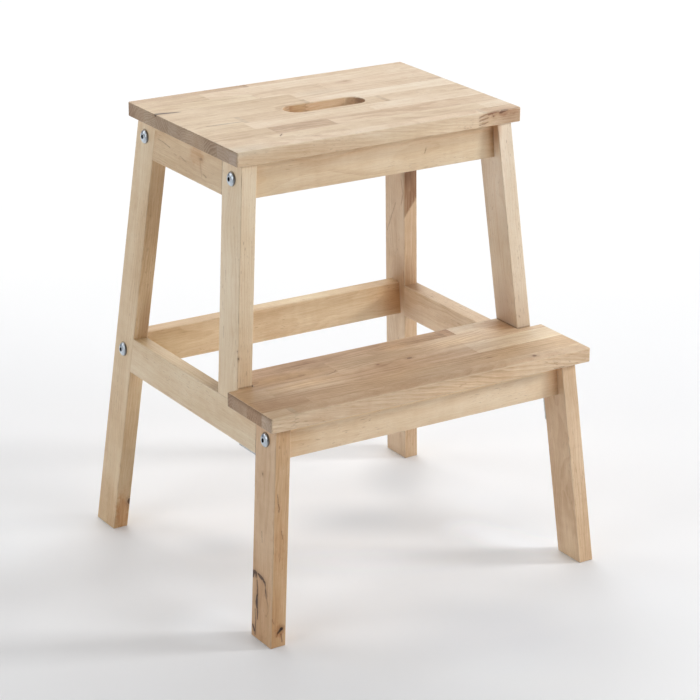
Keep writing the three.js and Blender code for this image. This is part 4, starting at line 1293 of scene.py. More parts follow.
MARKS = {
    "top_tread": [
        # painted light and shade along the front edge, over the top face and on the left end grain
        ("shade", on_top(10, -2, 489), (210, 8, 12), 1.0, (0.89, 0.81, 0.71)),
        ("shade", on_top(252, -2, 489), (90, 8, 12), 1.0, (1.09, 1.11, 1.11)),
        ("shade", on_top(182, -2, 489), (80, 8, 12), 1.0, (0.95, 0.93, 0.89)),
        ("shade", on_top(342, -2, 490), (36, 8, 16), 1.0, (0.76, 0.69, 0.67)),
        ("shade", on_top(10, 8, 503), (50, 22, 12), 1.0, (0.82, 0.82, 0.79)),
        ("shade", on_top(265, 6, 503), (75, 18, 12), 1.0, (1.14, 1.18, 1.25)),
        ("shade", on_top(335, 175, 503), (60, 60, 12), 1.0, (1.06, 1.11, 1.17)),
        ("shade", on_top(200, 165, 503), (40, 16, 12), 1.0, (0.90, 0.90, 0.90)),
        ("shade", (-178, 11, 492), (8, 36, 16), 1.0, (1.16, 1.15, 1.14)),
        ("shade", (-178, 126, 492), (8, 36, 16), 1.0, (1.11, 1.13, 1.14)),
        ("crack", [on_top(-1, 174.6), on_top(10, 172.8), on_top(21, 170.6), on_top(28, 169.4)], [3.4, 2.9, 1.7, 0.5], 1.0, srgb(80, 50, 26)),
        ("line", [on_top(-0.1, 2, 499.8), on_top(-0.1, 60, 499.8), on_top(-0.1, 112, 499.8)], [1.0, 1.0, 0.6], 0.72, srgb(112, 78, 48)),
        ("line", [on_top(23, 103.8), on_top(45, 103), on_top(66, 101.6)], [0.9, 1.0, 0.6], 0.75, BROWN),
        ("line", [on_top(70.5, 32.4), on_top(76.2, 39.6)], [0.8, 1.1], 0.8, BROWN),
        ("line", [on_top(128, 171), on_top(133, 179), on_top(156, 182.5)], [0.5, 0.6, 0.5], 0.28, RUST),
        ("stain", on_top(249, 190), (13, 9, 12), 0.55, (0.80, 0.69, 0.62)),
        ("knot", on_top(251, 192.5), (3.6, 2.0, 4), 0.45, RUST),
        ("line", [on_top(139, 96.4), on_top(151, 95.2)], [0.8, 0.7], 0.4, RUST),
        ("line", [on_top(337, 153.4), on_top(356, 151.6)], [0.8, 1.0], 0.42, BROWN),
        ("stain", on_top(316, 172), (7, 3.4, 8), 0.5, (0.86, 0.72, 0.62)),
        ("line", [on_top(102, 16.4), on_top(110, 15.4)], [0.8, 0.7], 0.4, RUST),
        ("stain", on_top(333, -1, 498), (24, 5, 5), 0.8, (0.78, 0.62, 0.54)),
        ("line", [on_top(312, -0.3, 497.6), on_top(318, -0.3, 499), on_top(325, 0, 500)], [1.6, 2.3, 1.6], 0.76, srgb(124, 76, 52)),
        ("line", [on_top(327, -0.5, 497.6), on_top(331, -0.3, 499.3), on_top(337, 0, 500)], [1.7, 2.8, 2.0], 0.82, srgb(104, 62, 42)),
        ("line", [on_top(337, 0, 500), on_top(351, 0, 500)], [1.0, 0.7], 0.5, srgb(150, 102, 72)),
        ("line", [on_top(316, -0.5, 497.5), on_top(320, -0.5, 494.5)], [1.0, 0.6], 0.5, srgb(140, 90, 64)),
        ("line", [on_top(300.5, -0.3, 495.4), on_top(311.5, -0.3, 498.2)], [1.3, 1.0], 0.66, srgb(150, 106, 78)),
        ("line", [on_top(300.5, -0.3, 491.3), on_top(311.5, -0.3, 493.9)], [1.3, 1.0], 0.66, srgb(150, 106, 78)),
        ("line", [on_top(300.5, -0.3, 486.8), on_top(311.5, -0.3, 489.2)], [1.3, 1.0], 0.66, srgb(150, 106, 78)),
        ("knot", on_top(318.5, -0.5, 494.8), (1.5, 2.0, 1.2), 0.62, srgb(118, 68, 50)),
        ("line", [on_top(319, -0.5, 492), on_top(322, -0.5, 491.6)], [0.7, 0.6], 0.45, srgb(140, 92, 70)),
        # painted shade on the walls of the hand slot
        ("slot_shade", (0.0, TOP_Y, 499.4), (60, 16.6, 1.0), 1.0, (0.80, 0.69, 0.58)),
        ("slot_shade", (62.0, TOP_Y, 499.4), (26, 16.6, 1.0), 1.0, (0.66, 0.52, 0.41)),
        ("slot_shade", (-56.0, TOP_Y, 499.4), (26, 16.6, 1.0), 0.8, (0.84, 0.72, 0.60)),
        ("line", [(-56.0, TOP_Y + 9, 492), (-34.0, TOP_Y + 15, 491.5)], [0.7, 0.9], 0.5, BROWN),
        ("line", [(-52.0, TOP_Y + 12, 496), (-36.0, TOP_Y + 15, 495.6)], [0.6, 0.7], 0.4, BROWN),
    ],
    "step_tread": [
        # painted light and shade over the step: darker at the left end and in the middle, lighter towards the right
        # end, along the front edge and on the left end grain
        ("shade", on_step(0, 40, 254), (92, 110, 9), 1.0, (0.66, 0.57, 0.46)),
        ("shade", on_step(66, 95, 253), (96, 18, 8), 1.0, (1.0, 0.96, 0.80)),
        ("shade", on_step(230, 36, 254), (230, 26, 9), 1.0, (0.99, 0.98, 0.92)),
        ("shade", on_step(190, 8, 254), (260, 20, 9), 1.0, (0.83, 0.78, 0.71)),
        ("shade", on_step(262, -2, 241), (120, 8, 10), 1.0, (1.16, 1.17, 1.16)),
        ("shade", on_step(54, -2, 241), (34, 8, 10), 1.0, (0.92, 0.87, 0.82)),
        ("shade", on_step(385, 45, 254), (75, 62, 12), 1.0, (1.19, 1.22, 1.20)),
        ("shade", on_step(290, 92, 254), (50, 17, 12), 1.0, (1.17, 1.22, 1.20)),
        ("shade", on_step(185, 95, 254), (95, 28, 12), 1.0, (0.85, 0.84, 0.80)),
        ("shade", on_step(205, 28, 254), (85, 26, 12), 1.0, (0.87, 0.85, 0.83)),
        ("shade", on_step(80, 68, 254), (60, 14, 12), 1.0, (1.17, 1.19, 1.14)),
        ("shade", on_step(140, 6, 254), (150, 10, 12), 1.0, (0.93, 0.88, 0.85)),
        ("shade", on_step(330, 4, 254), (80, 12, 12), 1.0, (1.13, 1.12, 1.11)),
        ("shade", (-202, -142, 243), (8, 62, 18), 1.0, (1.20, 1.21, 1.17)),
        ("shade", on_step(308, 66, 254), (58, 15, 12), 1.0, (0.87, 0.82, 0.77)),
        ("shade", on_step(183, 66, 254), (30, 13, 12), 1.0, (0.90, 0.87, 0.84)),
        ("shade", on_step(367, 84, 254), (34, 14, 12), 1.0, (1.14, 1.18, 1.24)),
        ("shade", on_step(256, 84, 254), (28, 13, 12), 1.0, (1.10, 1.14, 1.18)),
        ("shade", on_step(220, 114, 254), (28, 13, 12), 1.0, (1.15, 1.14, 1.08)),
        ("shade", on_step(36, 66, 254), (26, 14, 12), 1.0, (1.07, 1.11, 1.12)),
        ("line", [on_step(-0.1, 1, 251.1), on_step(-0.1, 46, 251.1), on_step(-0.1, 90, 251.1)], [1.0, 1.0, 0.8], 0.78, srgb(112, 78, 48)),
        # painted shadow at the foot of the right upper leg
        ("shade", on_step(362, 112, 253), (26, 34, 6), 0.9, (0.70, 0.56, 0.44)),
        # painted shade: dark lines round the notches, in the gaps where the upper legs stand
        ("seam", [on_step(0, 90.4), on_step(32.1, 90.4), on_step(32.1, 132)], [0.9, 1.0, 0.9], 0.8, srgb(84, 58, 40)),
        ("seam", [on_step(404, 90.4), on_step(371.9, 90.4), on_step(371.9, 132)], [0.8, 0.9, 0.9], 0.7, srgb(96, 68, 48)),
        # painted shadow of the right upper leg, falling to its left
        ("stain", on_step(352, 118), (22, 13, 30), 0.75, (0.82, 0.72, 0.62)),
        ("knot", on_step(337, 12), (3.2, 2.7, 3.5), 0.78, srgb(118, 66, 34)),
        ("knot", on_step(292, 32.6), (5.0, 1.5, 3), 0.48, srgb(124, 72, 36)),
        ("knot", on_step(177.5, 77), (2.6, 1.9, 3), 0.55, srgb(120, 66, 34)),
        ("knot", on_step(217.5, 76), (4.0, 1.9, 3), 0.8, srgb(94, 52, 28)),
        ("line", [on_step(114, 78.5), on_step(127, 82.5), on_step(131, 87.5)], [0.7, 1.2, 0.4], 0.42, BROWN),
        ("stain", on_step(205, 62), (98, 17, 30), 0.62, (0.83, 0.73, 0.66)),
        ("stain", on_step(125, 72), (14, 5, 20), 0.45, (0.82, 0.72, 0.62)),
        # painted light: the right end of the step paler, where the light falls
        ("stain", on_step(345, 97), (112, 20, 30), 0.95, (1.12, 1.15, 1.18)),
        ("stain", on_step(372, 36), (90, 22, 30), 0.8, (1.10, 1.12, 1.12)),
        ("line", [on_step(231, -0.5, 241), on_step(238.5, -0.5, 243)], [0.8, 1.0], 0.42, RUST),
        ("knot", on_step(357, -0.5, 243), (3.6, 2.0, 1.6), 0.26, RUST),
        ("line", [on_step(356, -0.5, 236.4), on_step(369, -0.5, 236.3)], [1.1, 1.1], 0.55, BROWN),
    ],
    "lower_front_leg_left": [
        # painted shade, darker towards the foot
        ("shade", (-207, -180, 0), (26, 48, 150), 1.0, (0.82, 0.71, 0.58)),
        ("line", [lower_out(38.8, 65.5), lower_out(38.6, 69.4), lower_out(35.1, 71.3), lower_out(32, 71.2), lower_out(31.5, 65.8)], [2.0, 3.3, 2.4, 2.2, 0.9], 0.9, srgb(62, 36, 34)),
        ("line", [lower_out(35, 70), lower_out(34.6, 65.6)], [2.0, 0.9], 0.8, srgb(74, 44, 38)),
        ("line", [lower_out(28.6, 71.3), lower_out(24.9, 70.4), lower_out(18.7, 69.0), lower_out(14.5, 66.4), lower_out(13.5, 62.6)], [1.5, 2.7, 2.3, 1.9, 0.8], 0.88, srgb(70, 42, 34)),
        ("line", [lower_out(13.5, 62.6), lower_out(12.7, 57.4), lower_out(11.2, 51.7)], [0.8, 1.8, 0.9], 0.85, srgb(80, 48, 34)),
        ("line", [lower_out(11.2, 51.7), lower_out(7.4, 44.5), lower_out(6.4, 36)], [0.8, 0.8, 0.5], 0.4, BROWN),
        ("line", [lower_out(30.7, 63.2), lower_out(29.3, 55.5), lower_out(29.4, 47.8)], [0.9, 1.5, 1.9], 0.8, srgb(84, 52, 40)),
        ("line", [lower_out(29.4, 47.8), lower_out(30.5, 40), lower_out(29.5, 34.4)], [1.9, 3.5, 2.2], 0.92, srgb(62, 38, 36)),
        ("line", [lower_out(29.5, 34.4), lower_out(28.2, 29.6), lower_out(28.5, 22)], [1.8, 1.9, 1.0], 0.82, srgb(74, 46, 38)),
        ("line", [lower_out(33.4, 31), lower_out(31.7, 19.4), lower_out(32.2, 3.8)], [0.8, 1.2, 1.3], 0.7, srgb(84, 54, 42)),
        ("line", [lower_out(36.9, 12), lower_out(34, 7.6)], [1.9, 2.3], 0.85, srgb(66, 42, 40)),
        ("knot", lower_out(11, 32), (1.2, 1.2, 1.2), 0.35, BROWN),
        ("knot", lower_out(24, 181), (1.6, 1.4, 2.0), 0.6, BROWN),
        ("line", [lower_out(22, 108), lower_out(23.5, 119)], [0.6, 0.8], 0.45, BROWN),
        ("stain", lower_face(-1, 9.5, 18), (6, 6, 9), 0.8, (0.86, 0.66, 0.48)),
        ("knot", lower_face(-1, 12.4, 20.6), (2.3, 2.4, 2.3), 0.95, srgb(40, 26, 22)),
        ("line", [lower_face(-1, 12.0, 20.2), lower_face(-1, 10.2, 18.4), lower_face(-1, 8.0, 16.1)], [2.5, 2.2, 1.6], 0.92, srgb(46, 28, 22)),
        ("line", [lower_face(-1, 8.2, 16.3), lower_face(-1, 6.7, 12.4)], [1.2, 0.8], 0.5, srgb(140, 88, 50)),
        ("line", [lower_face(-1, 12.4, 14.6), lower_face(-1, 13.2, 6.5)], [1.4, 0.8], 0.62, srgb(112, 66, 42)),
        ("line", [lower_face(-1, 0.9, 32.2), lower_face(-1, 2.9, 27.2)], [0.6, 0.7], 0.4, BROWN),
        ("line", [lower_face(-1, 3.8, 167), lower_face(-1, 6.0, 148)], [0.5, 0.75], 0.62, BROWN),
        ("line", [lower_face(-1, 9.8, 127), lower_face(-1, 10.8, 118)], [0.5, 0.7], 0.58, BROWN),
        ("stain", lower_out(25, 30), (20, 22, 48), 0.5, (0.86, 0.76, 0.68)),
        # painted shade over the front face
        ("half", skin(-1, False, lower_face(-1, 9, 120)), [1.2, 0.7], 1.0, (0.78, 0.67, 0.53)),
        ("stain", lower_face(-1, 6, 120), (6, 8, 60), 0.7, (0.90, 0.80, 0.70)),
    ],
    "upper_front_leg_left": [
        # painted shade over the front face and low on it, painted light near the top
        ("half", skin(-1, False, upper_face(-1, 9, 100)), [1.2, 0.7], 1.0, (0.93, 0.90, 0.87)),
        ("shade", (-176, -95, 262), (20, 14, 80), 1.0, (0.98, 0.92, 0.87)),
        ("shade", (-163, -74, 462), (14, 12, 90), 1.0, (1.07, 1.11, 1.16)),
        ("knot", upper_face(-1, 0.7, 48.5), (1.0, 1.1, 1.7), 0.9, srgb(92, 62, 44)),
        ("knot", upper_out(1.2, 56), (0.8, 0.9, 1.2), 0.55, BROWN),
        ("line", [upper_out(30, 62), upper_out(30.6, 74)], [0.35, 0.45], 0.35, BROWN),
        ("line", [upper_out(28, 122), upper_out(29, 134)], [0.4, 0.7], 0.25, RUST),
    ],
    "rear_leg_left": [
        # painted shade, darker towards the foot and at the side rail's joint
        ("shade", (-208, 176, 0), (26, 46, 95), 1.0, (0.86, 0.78, 0.67)),
        ("shade", (-174, 131, 244), (17, 18, 66), 1.0, (0.64, 0.53, 0.43)),
        ("knot", rear_face_front(-1, 16.8, 33), (2.6, 2.6, 4.6), 0.88, srgb(84, 50, 32)),
        # painted shade over the front face
        ("half", skin(-1, True, rear_face_front(-1, 9, 20)), [1.2, 0.7], 0.9, (0.86, 0.79, 0.69)),
        ("stain", rear_face_front(-1, 10, 16), (9, 8, 38), 0.9, (0.80, 0.56, 0.37)),
        ("stain", rear_out(30, 20), (12, 12, 34), 0.6, (0.84, 0.74, 0.64)),
        ("stain", rear_out(16, 390), (4, 3.2, 15), 0.5, (0.86, 0.78, 0.70)),
        ("stain", rear_out(10, 34), (14, 16, 30), 0.4, (0.84, 0.76, 0.70)),
    ],
    "rear_leg_right": [
        # partly darker heartwood and partly painted shadow: a wedge on the upper front face, and a painted shadow under
        # the apron
        ("half", skin(1, True, rear_face_front(1, 9, 340), (rear_face_front(1, 6.9, 339), (-0.846, 0.0, 0.534))), [1.6, 0.7], 1.0, (0.44, 0.32, 0.24)),
        ("shade", rear_face_front(1, 12, 382), (14, 12, 26), 1.0, (0.62, 0.54, 0.46)),
        ("stain", rear_face_front(1, 6, 352), (5, 8, 9), 0.6, (0.80, 0.70, 0.62)),
        # painted shade over the front face and where the rails meet the leg
        ("half", skin(1, True, rear_face_front(1, 9, 250)), [1.2, 0.7], 0.9, (0.78, 0.70, 0.61)),
        ("shade", (174, 140, 236), (15, 24, 52), 1.0, (0.70, 0.60, 0.52)),
        ("seam", [(171.0, 134.5, 252), (173.2, 136.5, 196)], [0.8, 0.8], 0.5, srgb(120, 74, 52)),
        ("line", [rear_leg_in(34, 372), rear_leg_in(38, 356), rear_leg_in(34, 340)], [0.8, 1.4, 0.7], 0.45, RUST),
        ("line", [rear_leg_in(22, 340), rear_leg_in(12, 318), rear_leg_in(4, 300)], [0.6, 1.0, 0.8], 0.35, BROWN),
        # painted light on the inner face
        ("shade", rear_leg_in(20, 345), (12, 26, 60), 0.6, (1.06, 1.09, 1.13)),
        ("shade", (176, 160, 165), (10, 44, 56), 1.0, (1.08, 1.12, 1.17)),
    ],
    "rear_mid_rail": [
        # painted shade at the ends by the legs, painted light along the top
        ("shade", (176, 146, 215), (54, 12, 46), 1.0, (0.74, 0.53, 0.37)),
        ("shade", (-170, 146, 215), (120, 12, 46), 1.0, (0.93, 0.90, 0.80)),
        ("shade", (42, 156, 236), (110, 16, 6), 1.0, (1.22, 1.38, 1.50)),
    ],
    "lower_side_rail_right": [
        # painted shade by the rear leg
        ("shade", (173, 132, 216), (14, 60, 50), 1.0, (0.80, 0.72, 0.66)),
        ("shade", (178, 132, 236), (16, 34, 8), 1.0, (0.62, 0.52, 0.44)),
    ],
    "lower_side_rail_left": [
        # painted shadow over the top face, darkest at the front end
        ("half", [((0, 400, 0), (0, -1, 0)), (tuple(fp(-1, 0, RAIL_TOP_UP - 0.5, 9)), tuple(up_of(-1)))], [2.0, 0.4], 1.0, (0.82, 0.80, 0.73)),
        ("half", [((0, 20, 0), (0, -1, 0)), (tuple(fp(-1, 0, RAIL_TOP_UP - 0.5, 9)), tuple(up_of(-1)))], [60.0, 0.4], 1.0, (0.58, 0.51, 0.41)),
        ("half", [((0, 122, 0), (0, 1, 0)), (tuple(fp(-1, 0, RAIL_TOP_UP - 0.5, 9)), tuple(up_of(-1)))], [14.0, 0.4], 1.0, (0.74, 0.69, 0.60)),
    ],
    "upper_front_leg_right": [
        # painted shade low on the leg and under the apron, painted light on the upper inner face
        ("shade", (168, -70, 250), (22, 34, 84), 1.0, (0.76, 0.67, 0.63)),
        ("shade", (180, -94, 256), (16, 12, 62), 1.0, (0.88, 0.85, 0.84)),
        ("shade", (156, -60, 430), (12, 36, 130), 1.0, (1.13, 1.16, 1.22)),
        ("shade", (151, -68, 480), (7, 14, 40), 1.0, (0.76, 0.60, 0.48)),
    ],
    "lower_front_leg_right": [
        # painted light towards the foot, painted shade up by the apron
        ("shade", (190, -178, 0), (17, 36, 96), 1.0, (1.13, 1.17, 1.19)),
        ("shade", (182, -182, 220), (18, 18, 90), 1.0, (0.84, 0.79, 0.73)),
    ],
    "lower_front_apron": [
        # painted light along the top under the step's edge, painted shade on the right half and at the ends
        ("shade", (0, -166, 231), (700, 12, 8.5), 1.0, (1.60, 1.56, 1.38)),
        ("shade", (122, -166, 221), (50, 12, 10), 1.0, (0.91, 0.91, 0.92)),
        ("shade", (60, -166, 205), (190, 12, 60), 1.0, (0.97, 0.965, 0.96)),
        ("shade", (-166, -166, 222), (50, 12, 40), 1.0, (0.88, 0.82, 0.74)),
        ("shade", (173, -166, 222), (26, 12, 46), 1.0, (0.86, 0.70, 0.57)),
    ],
    "upper_side_apron_left": [
        # painted light, a little paler here
        ("shade", (-172, 80, 462), (16, 70, 60), 0.8, (1.03, 1.05, 1.05)),
        ("stain", tuple(fp(-1, 20, 471 / COS, 0)), (14, 17, 11), 0.85, (0.86, 0.70, 0.56)),
        ("knot", tuple(fp(-1, 11, 470.4 / COS, 0)), (3.0, 4.2, 1.8), 0.5, srgb(140, 92, 58)),
        ("line", [tuple(fp(-1, 12, 466 / COS, 0)), tuple(fp(-1, 10, 460 / COS, 0)), tuple(fp(-1, 7, 452 / COS, 0))], [0.9, 1.3, 0.6], 0.28, RUST),
        ("line", [tuple(fp(-1, 5, 455.6 / COS, 0)), tuple(fp(-1, -2, 454.2 / COS, 0))], [0.6, 0.9], 0.45, BROWN),
        ("line", [tuple(fp(-1, 106, 470 / COS, 0)), tuple(fp(-1, 92, 469 / COS, 0)), tuple(fp(-1, 78, 466.8 / COS, 0))], [0.5, 0.8, 0.5], 0.4, BROWN),
        ("line", [tuple(fp(-1, 56, 463 / COS, 0)), tuple(fp(-1, 42, 460 / COS, 0))], [0.5, 0.8], 0.32, BROWN),
    ],
    "upper_front_apron": [
        # painted light and shadow under the upper tread's edge
        ("shade", (0, -63.5, 480.5), (700, 12, 8), 1.0, (1.08, 1.06, 1.04)),
        ("shade", (20, -63.5, 470.5), (700, 12, 11), 1.0, (0.85, 0.82, 0.80)),
        ("line", [(62.0, -63.5, 461.5), (63.6, -63.5, 467.0)], [0.5, 0.8], 0.55, BROWN),
        # darker along the top of the face, just under the upper tread's edge
        ("stain", (60, -63.5, 478), (120, 8, 7), 0.35, (0.90, 0.82, 0.75)),
        # painted shade at the ends
        ("shade", (154, -63.5, 470), (22, 12, 42), 1.0, (0.78, 0.61, 0.47)),
        ("shade", (-145, -63.5, 462), (64, 12, 44), 1.0, (0.91, 0.88, 0.83)),
    ],
}

# a painted shadow round each bolt head, set off-centre so that it shows on one side
for joint in JOINTS:
    bolt_shadow_at = joint["seat"] + Vector((0, 0.75, 0)) + up_of(joint["side"]) * 0.3
    board = f"{joint['leg']}_leg_{'left' if joint['side'] < 0 else 'right'}"
    MARKS.setdefault(board, []).append(("seat", tuple(bolt_shadow_at), (7.95, 7.95, 7.95), 0.85, (0.45, 0.40, 0.36)))

# painted shade on each upper front leg below the step's top face, where it stands in the step's notch
for side, word in ((-1, "left"), (1, "right")):
    MARKS.setdefault(f"upper_front_leg_{word}", []).append(
        ("half", [((0, 0, 280), (0, 0, -1)), ((0, 0, STEP_UNDER + TREAD_T + 0.5), (0, 0, -1)),
                  ((side * 187.5, 0, 0), (-side, 0, 0))], [2.0, 0.4, 0.6], 0.85, (0.58, 0.46, 0.36)))

# how much yellower or paler each board is than the common wood
CAST = {
    "rear_leg_left": (0.987, 0.966, 0.894), "rear_leg_right": (0.977, 0.975, 0.982), "upper_front_leg_left": (1.035, 1.020, 0.973),
    "upper_front_leg_right": (0.989, 0.982, 0.977), "lower_front_leg_left": (1.011, 0.978, 0.938), "lower_front_leg_right": (1.017, 1.004, 0.977),
    "upper_side_apron_left": (1.017, 1.008, 0.952), "upper_side_apron_right": (0.99, 0.98, 0.94), "lower_side_rail_left": (1.010, 1.000, 0.951),
    "lower_side_rail_right": (0.982, 0.986, 0.991), "upper_front_apron": (1.015, 1.005, 0.955), "upper_rear_apron": (0.99, 0.98, 0.94),
    "rear_mid_rail": (0.972, 0.973, 0.922), "lower_front_apron": (1.003, 0.985, 0.935),
}

MAT = {}
for n in ["top_tread", "step_tread"] + [f"{a}_{w}" for w in ("left", "right") for a in (
        "rear_leg", "upper_front_leg", "lower_front_leg", "upper_side_apron", "lower_side_rail")] + [
        "upper_front_apron", "upper_rear_apron", "rear_mid_rail", "lower_front_apron"]:
    MAT[n] = wood(n + "_wood", MARKS.get(n, ()), grain_depth=1.4 if "tread" in n else 1.05, cast=CAST.get(n))
MAT["dowel"] = wood("dowel_wood", lift=0.1)
MAT["bolt"] = metal("zinc_bolt", (0.70, 0.765, 0.83), (0.57, 0.65, 0.735), 0.40, socketed=1.0)
MAT["hardware"] = metal("zinc_hardware", (0.62, 0.64, 0.66), (0.50, 0.51, 0.53), 0.36)
MAT["floor"] = floor_material()


# ------------------------------------------------------------------ the boards
def leg_ends(side, front, back, z0, z1):
    a = [level(side, front, z0, 0), level(side, back, z0, 0), level(side, back, z0, LEG_T), level(side, front, z0, LEG_T)]
    b = [level(side, front, z1, 0), level(side, back, z1, 0), level(side, back, z1, LEG_T), level(side, front, z1, LEG_T)]
    return a, b


def side_joints(side, leg):
    return [j for j in JOINTS if j["side"] == side and j["leg"] == leg]


# tone, warmth, seed, pith, ring width and grain tilt of each board
WOODS = {
    "rear_leg_left": dict(tone=0.31, warm=0.1, seed=3.1, pith=(12, -34), rings=3.2, tilt=(0.5, 0.3)),
    "rear_leg_right": dict(tone=0.46, warm=0.25, seed=5.7, pith=(-26, 60), rings=3.0, tilt=(0.7, -0.3)),
    "upper_front_leg_left": dict(tone=0.13, warm=-0.1, seed=1.9, pith=(34, 120), rings=2.6, tilt=(0.2, 0.5)),
    "upper_front_leg_right": dict(tone=0.06, warm=0, seed=8.3, pith=(-40, 95), rings=2.8, tilt=(0.3, 0.2)),
    "lower_front_leg_left": dict(tone=0.41, warm=0.6, seed=6.4, pith=(8, 40), rings=3.4, tilt=(0.8, 0.6)),
    "lower_front_leg_right": dict(tone=0.53, warm=0.5, seed=2.2, pith=(-18, -75), rings=2.4, tilt=(0.2, 0.4)),
    "upper_side_apron_left": dict(tone=0.54, warm=0.1, seed=4.6, pith=(6, -30), rings=3.6, tilt=(1.2, 0.8)),
    "upper_side_apron_right": dict(tone=0.34, warm=0.1, seed=7.7, pith=(-14, 50), rings=3.2, tilt=(0.8, 0.6)),
    "lower_side_rail_left": dict(tone=0.29, warm=-0.1, seed=9.2, pith=(10, -60), rings=3.0, tilt=(0.7, 0.4)),
    "lower_side_rail_right": dict(tone=0.44, warm=0.1, seed=0.8, pith=(22, 48), rings=2.8, tilt=(0.6, 0.4)),
    "upper_front_apron": dict(tone=0.3, warm=0, seed=5.1, pith=(4, -44), rings=3.4, tilt=(1.0, 0.9)),
    "upper_rear_apron": dict(tone=0.32, warm=0.0, seed=3.9, pith=(-12, 40), rings=3.0, tilt=(0.8, 0.5)),
    "rear_mid_rail": dict(tone=0.57, warm=-0.05, seed=7.1, pith=(9, -52), rings=3.2, tilt=(0.9, 0.7)),
    "lower_front_apron": dict(tone=0.28, warm=0.15, seed=2.8, pith=(-6, -58), rings=3.8, tilt=(0.8, 0.9)),
}


def build_boards():
    for side, word in ((-1, "left"), (1, "right")):
        # rear leg, floor to the upper tread
        a, b = leg_ends(side, rear_leg_front, rear_face, 0.0, APRON_TOP)
        stick(f"rear_leg_{word}", a, b, "leg_wood", MAT[f"rear_leg_{word}"], end_a=0.7, steps=[
            tenon(side, rear_leg_front, RAIL_UNDER_UP, 1, GAP), tenon(side, rear_leg_front, APRON_UNDER_UP, 1, GAP),
            bolt_and_dowel_holes(side_joints(side, "rear"))], **WOODS[f"rear_leg_{word}"])
        # upper front leg, lower rail to the upper tread
        seat = RAIL_TOP_UP + FIT
        a = [fp(side, upper_front(seat), seat, 0), fp(side, upper_rear(seat), seat, 0),
             fp(side, upper_rear(seat), seat, LEG_T), fp(side, upper_front(seat), seat, LEG_T)]
        b = leg_ends(side, upper_front, upper_rear, 0.0, APRON_TOP)[1]
        stick(f"upper_front_leg_{word}", a, b, "leg_wood", MAT[f"upper_front_leg_{word}"], join=[stub(side, 0)], steps=[
            tenon(side, upper_rear, APRON_UNDER_UP, -1, GAP),
            bolt_and_dowel_holes(side_joints(side, "upper_front"))], **WOODS[f"upper_front_leg_{word}"])
        # lower front leg, floor to the lower tread
        a, b = leg_ends(side, lower_front, lower_rear, 0.0, RAIL_TOP)
        stick(f"lower_front_leg_{word}", a, b, "leg_wood", MAT[f"lower_front_leg_{word}"], end_a=0.7, steps=[
            tenon(side, lower_rear, RAIL_UNDER_UP, -1, GAP),
            bolt_and_dowel_holes(side_joints(side, "lower_front")), pilot_holes(side, "leg")], **WOODS[f"lower_front_leg_{word}"])
        # lower side rail and upper side apron
        u0, u1 = RAIL_UNDER_UP, RAIL_TOP_UP
        a = [fp(side, lower_rear(u) + FIT, u, d) for u, d in ((u0, 0), (u1, 0), (u1, LEG_T), (u0, LEG_T))]
        b = [fp(side, rear_leg_front(u) - FIT, u, d) for u, d in ((u0, 0), (u1, 0), (u1, LEG_T), (u0, LEG_T))]
        stick(f"lower_side_rail_{word}", a, b, "rail_wood", MAT[f"lower_side_rail_{word}"],
              join=[tenon(side, rear_leg_front, u0, 1, 0), tenon(side, lower_rear, u0, -1, 0)],
              steps=[stub(side, GAP), pilot_holes(side, "rail")], **WOODS[f"lower_side_rail_{word}"])
        u0 = APRON_UNDER_UP
        v0, v1 = (APRON_TOP + SIN * 0) / COS, (APRON_TOP + SIN * LEG_T) / COS
        a = [fp(side, upper_rear(u) + FIT, u, d) for u, d in ((u0, 0), (v0, 0), (v1, LEG_T), (u0, LEG_T))]
        b = [fp(side, rear_leg_front(u) - FIT, u, d) for u, d in ((u0, 0), (v0, 0), (v1, LEG_T), (u0, LEG_T))]
        stick(f"upper_side_apron_{word}", a, b, "rail_wood", MAT[f"upper_side_apron_{word}"],
              join=[tenon(side, rear_leg_front, u0, 1, 0), tenon(side, upper_rear, u0, -1, 0)], **WOODS[f"upper_side_apron_{word}"])

    # cross rails: their ends follow the side frames' slope
    def inner_x(z):
        d = LEG_T + FIT
        return FOOT_HALF - SIN * (z + SIN * d) / COS - COS * d
    for name, key, y, top in (("upper_front_apron", "upper_front", UPPER_FRONT_RAIL_Y, APRON_TOP),
                              ("upper_rear_apron", "upper_rear", UPPER_REAR_RAIL_Y, APRON_TOP),
                              ("rear_mid_rail", "mid_rear", MID_REAR_RAIL_Y, RAIL_TOP),
                              ("lower_front_apron", "lower_front", LOWER_FRONT_RAIL_Y, RAIL_TOP)):
        z0, z1, h = top - RAIL_H, top, RAIL_T / 2
        a = [(-inner_x(z), yy, z) for z, yy in ((z0, y - h), (z1, y - h), (z1, y + h), (z0, y + h))]
        b = [(inner_x(z), yy, z) for z, yy in ((z0, y - h), (z1, y - h), (z1, y + h), (z0, y + h))]
        joints = [j for j in JOINTS if j["rail"] == key]
        steps = [bolt_and_dowel_holes(joints), nut_holes(joints)]
        screws = [s for s in TREAD_SCREWS if s["rail"] == key]
        if screws:
            steps.append(screw_holes(screws))
        stick(name, a, b, "rail_wood", MAT[name], steps=steps, **WOODS[name])


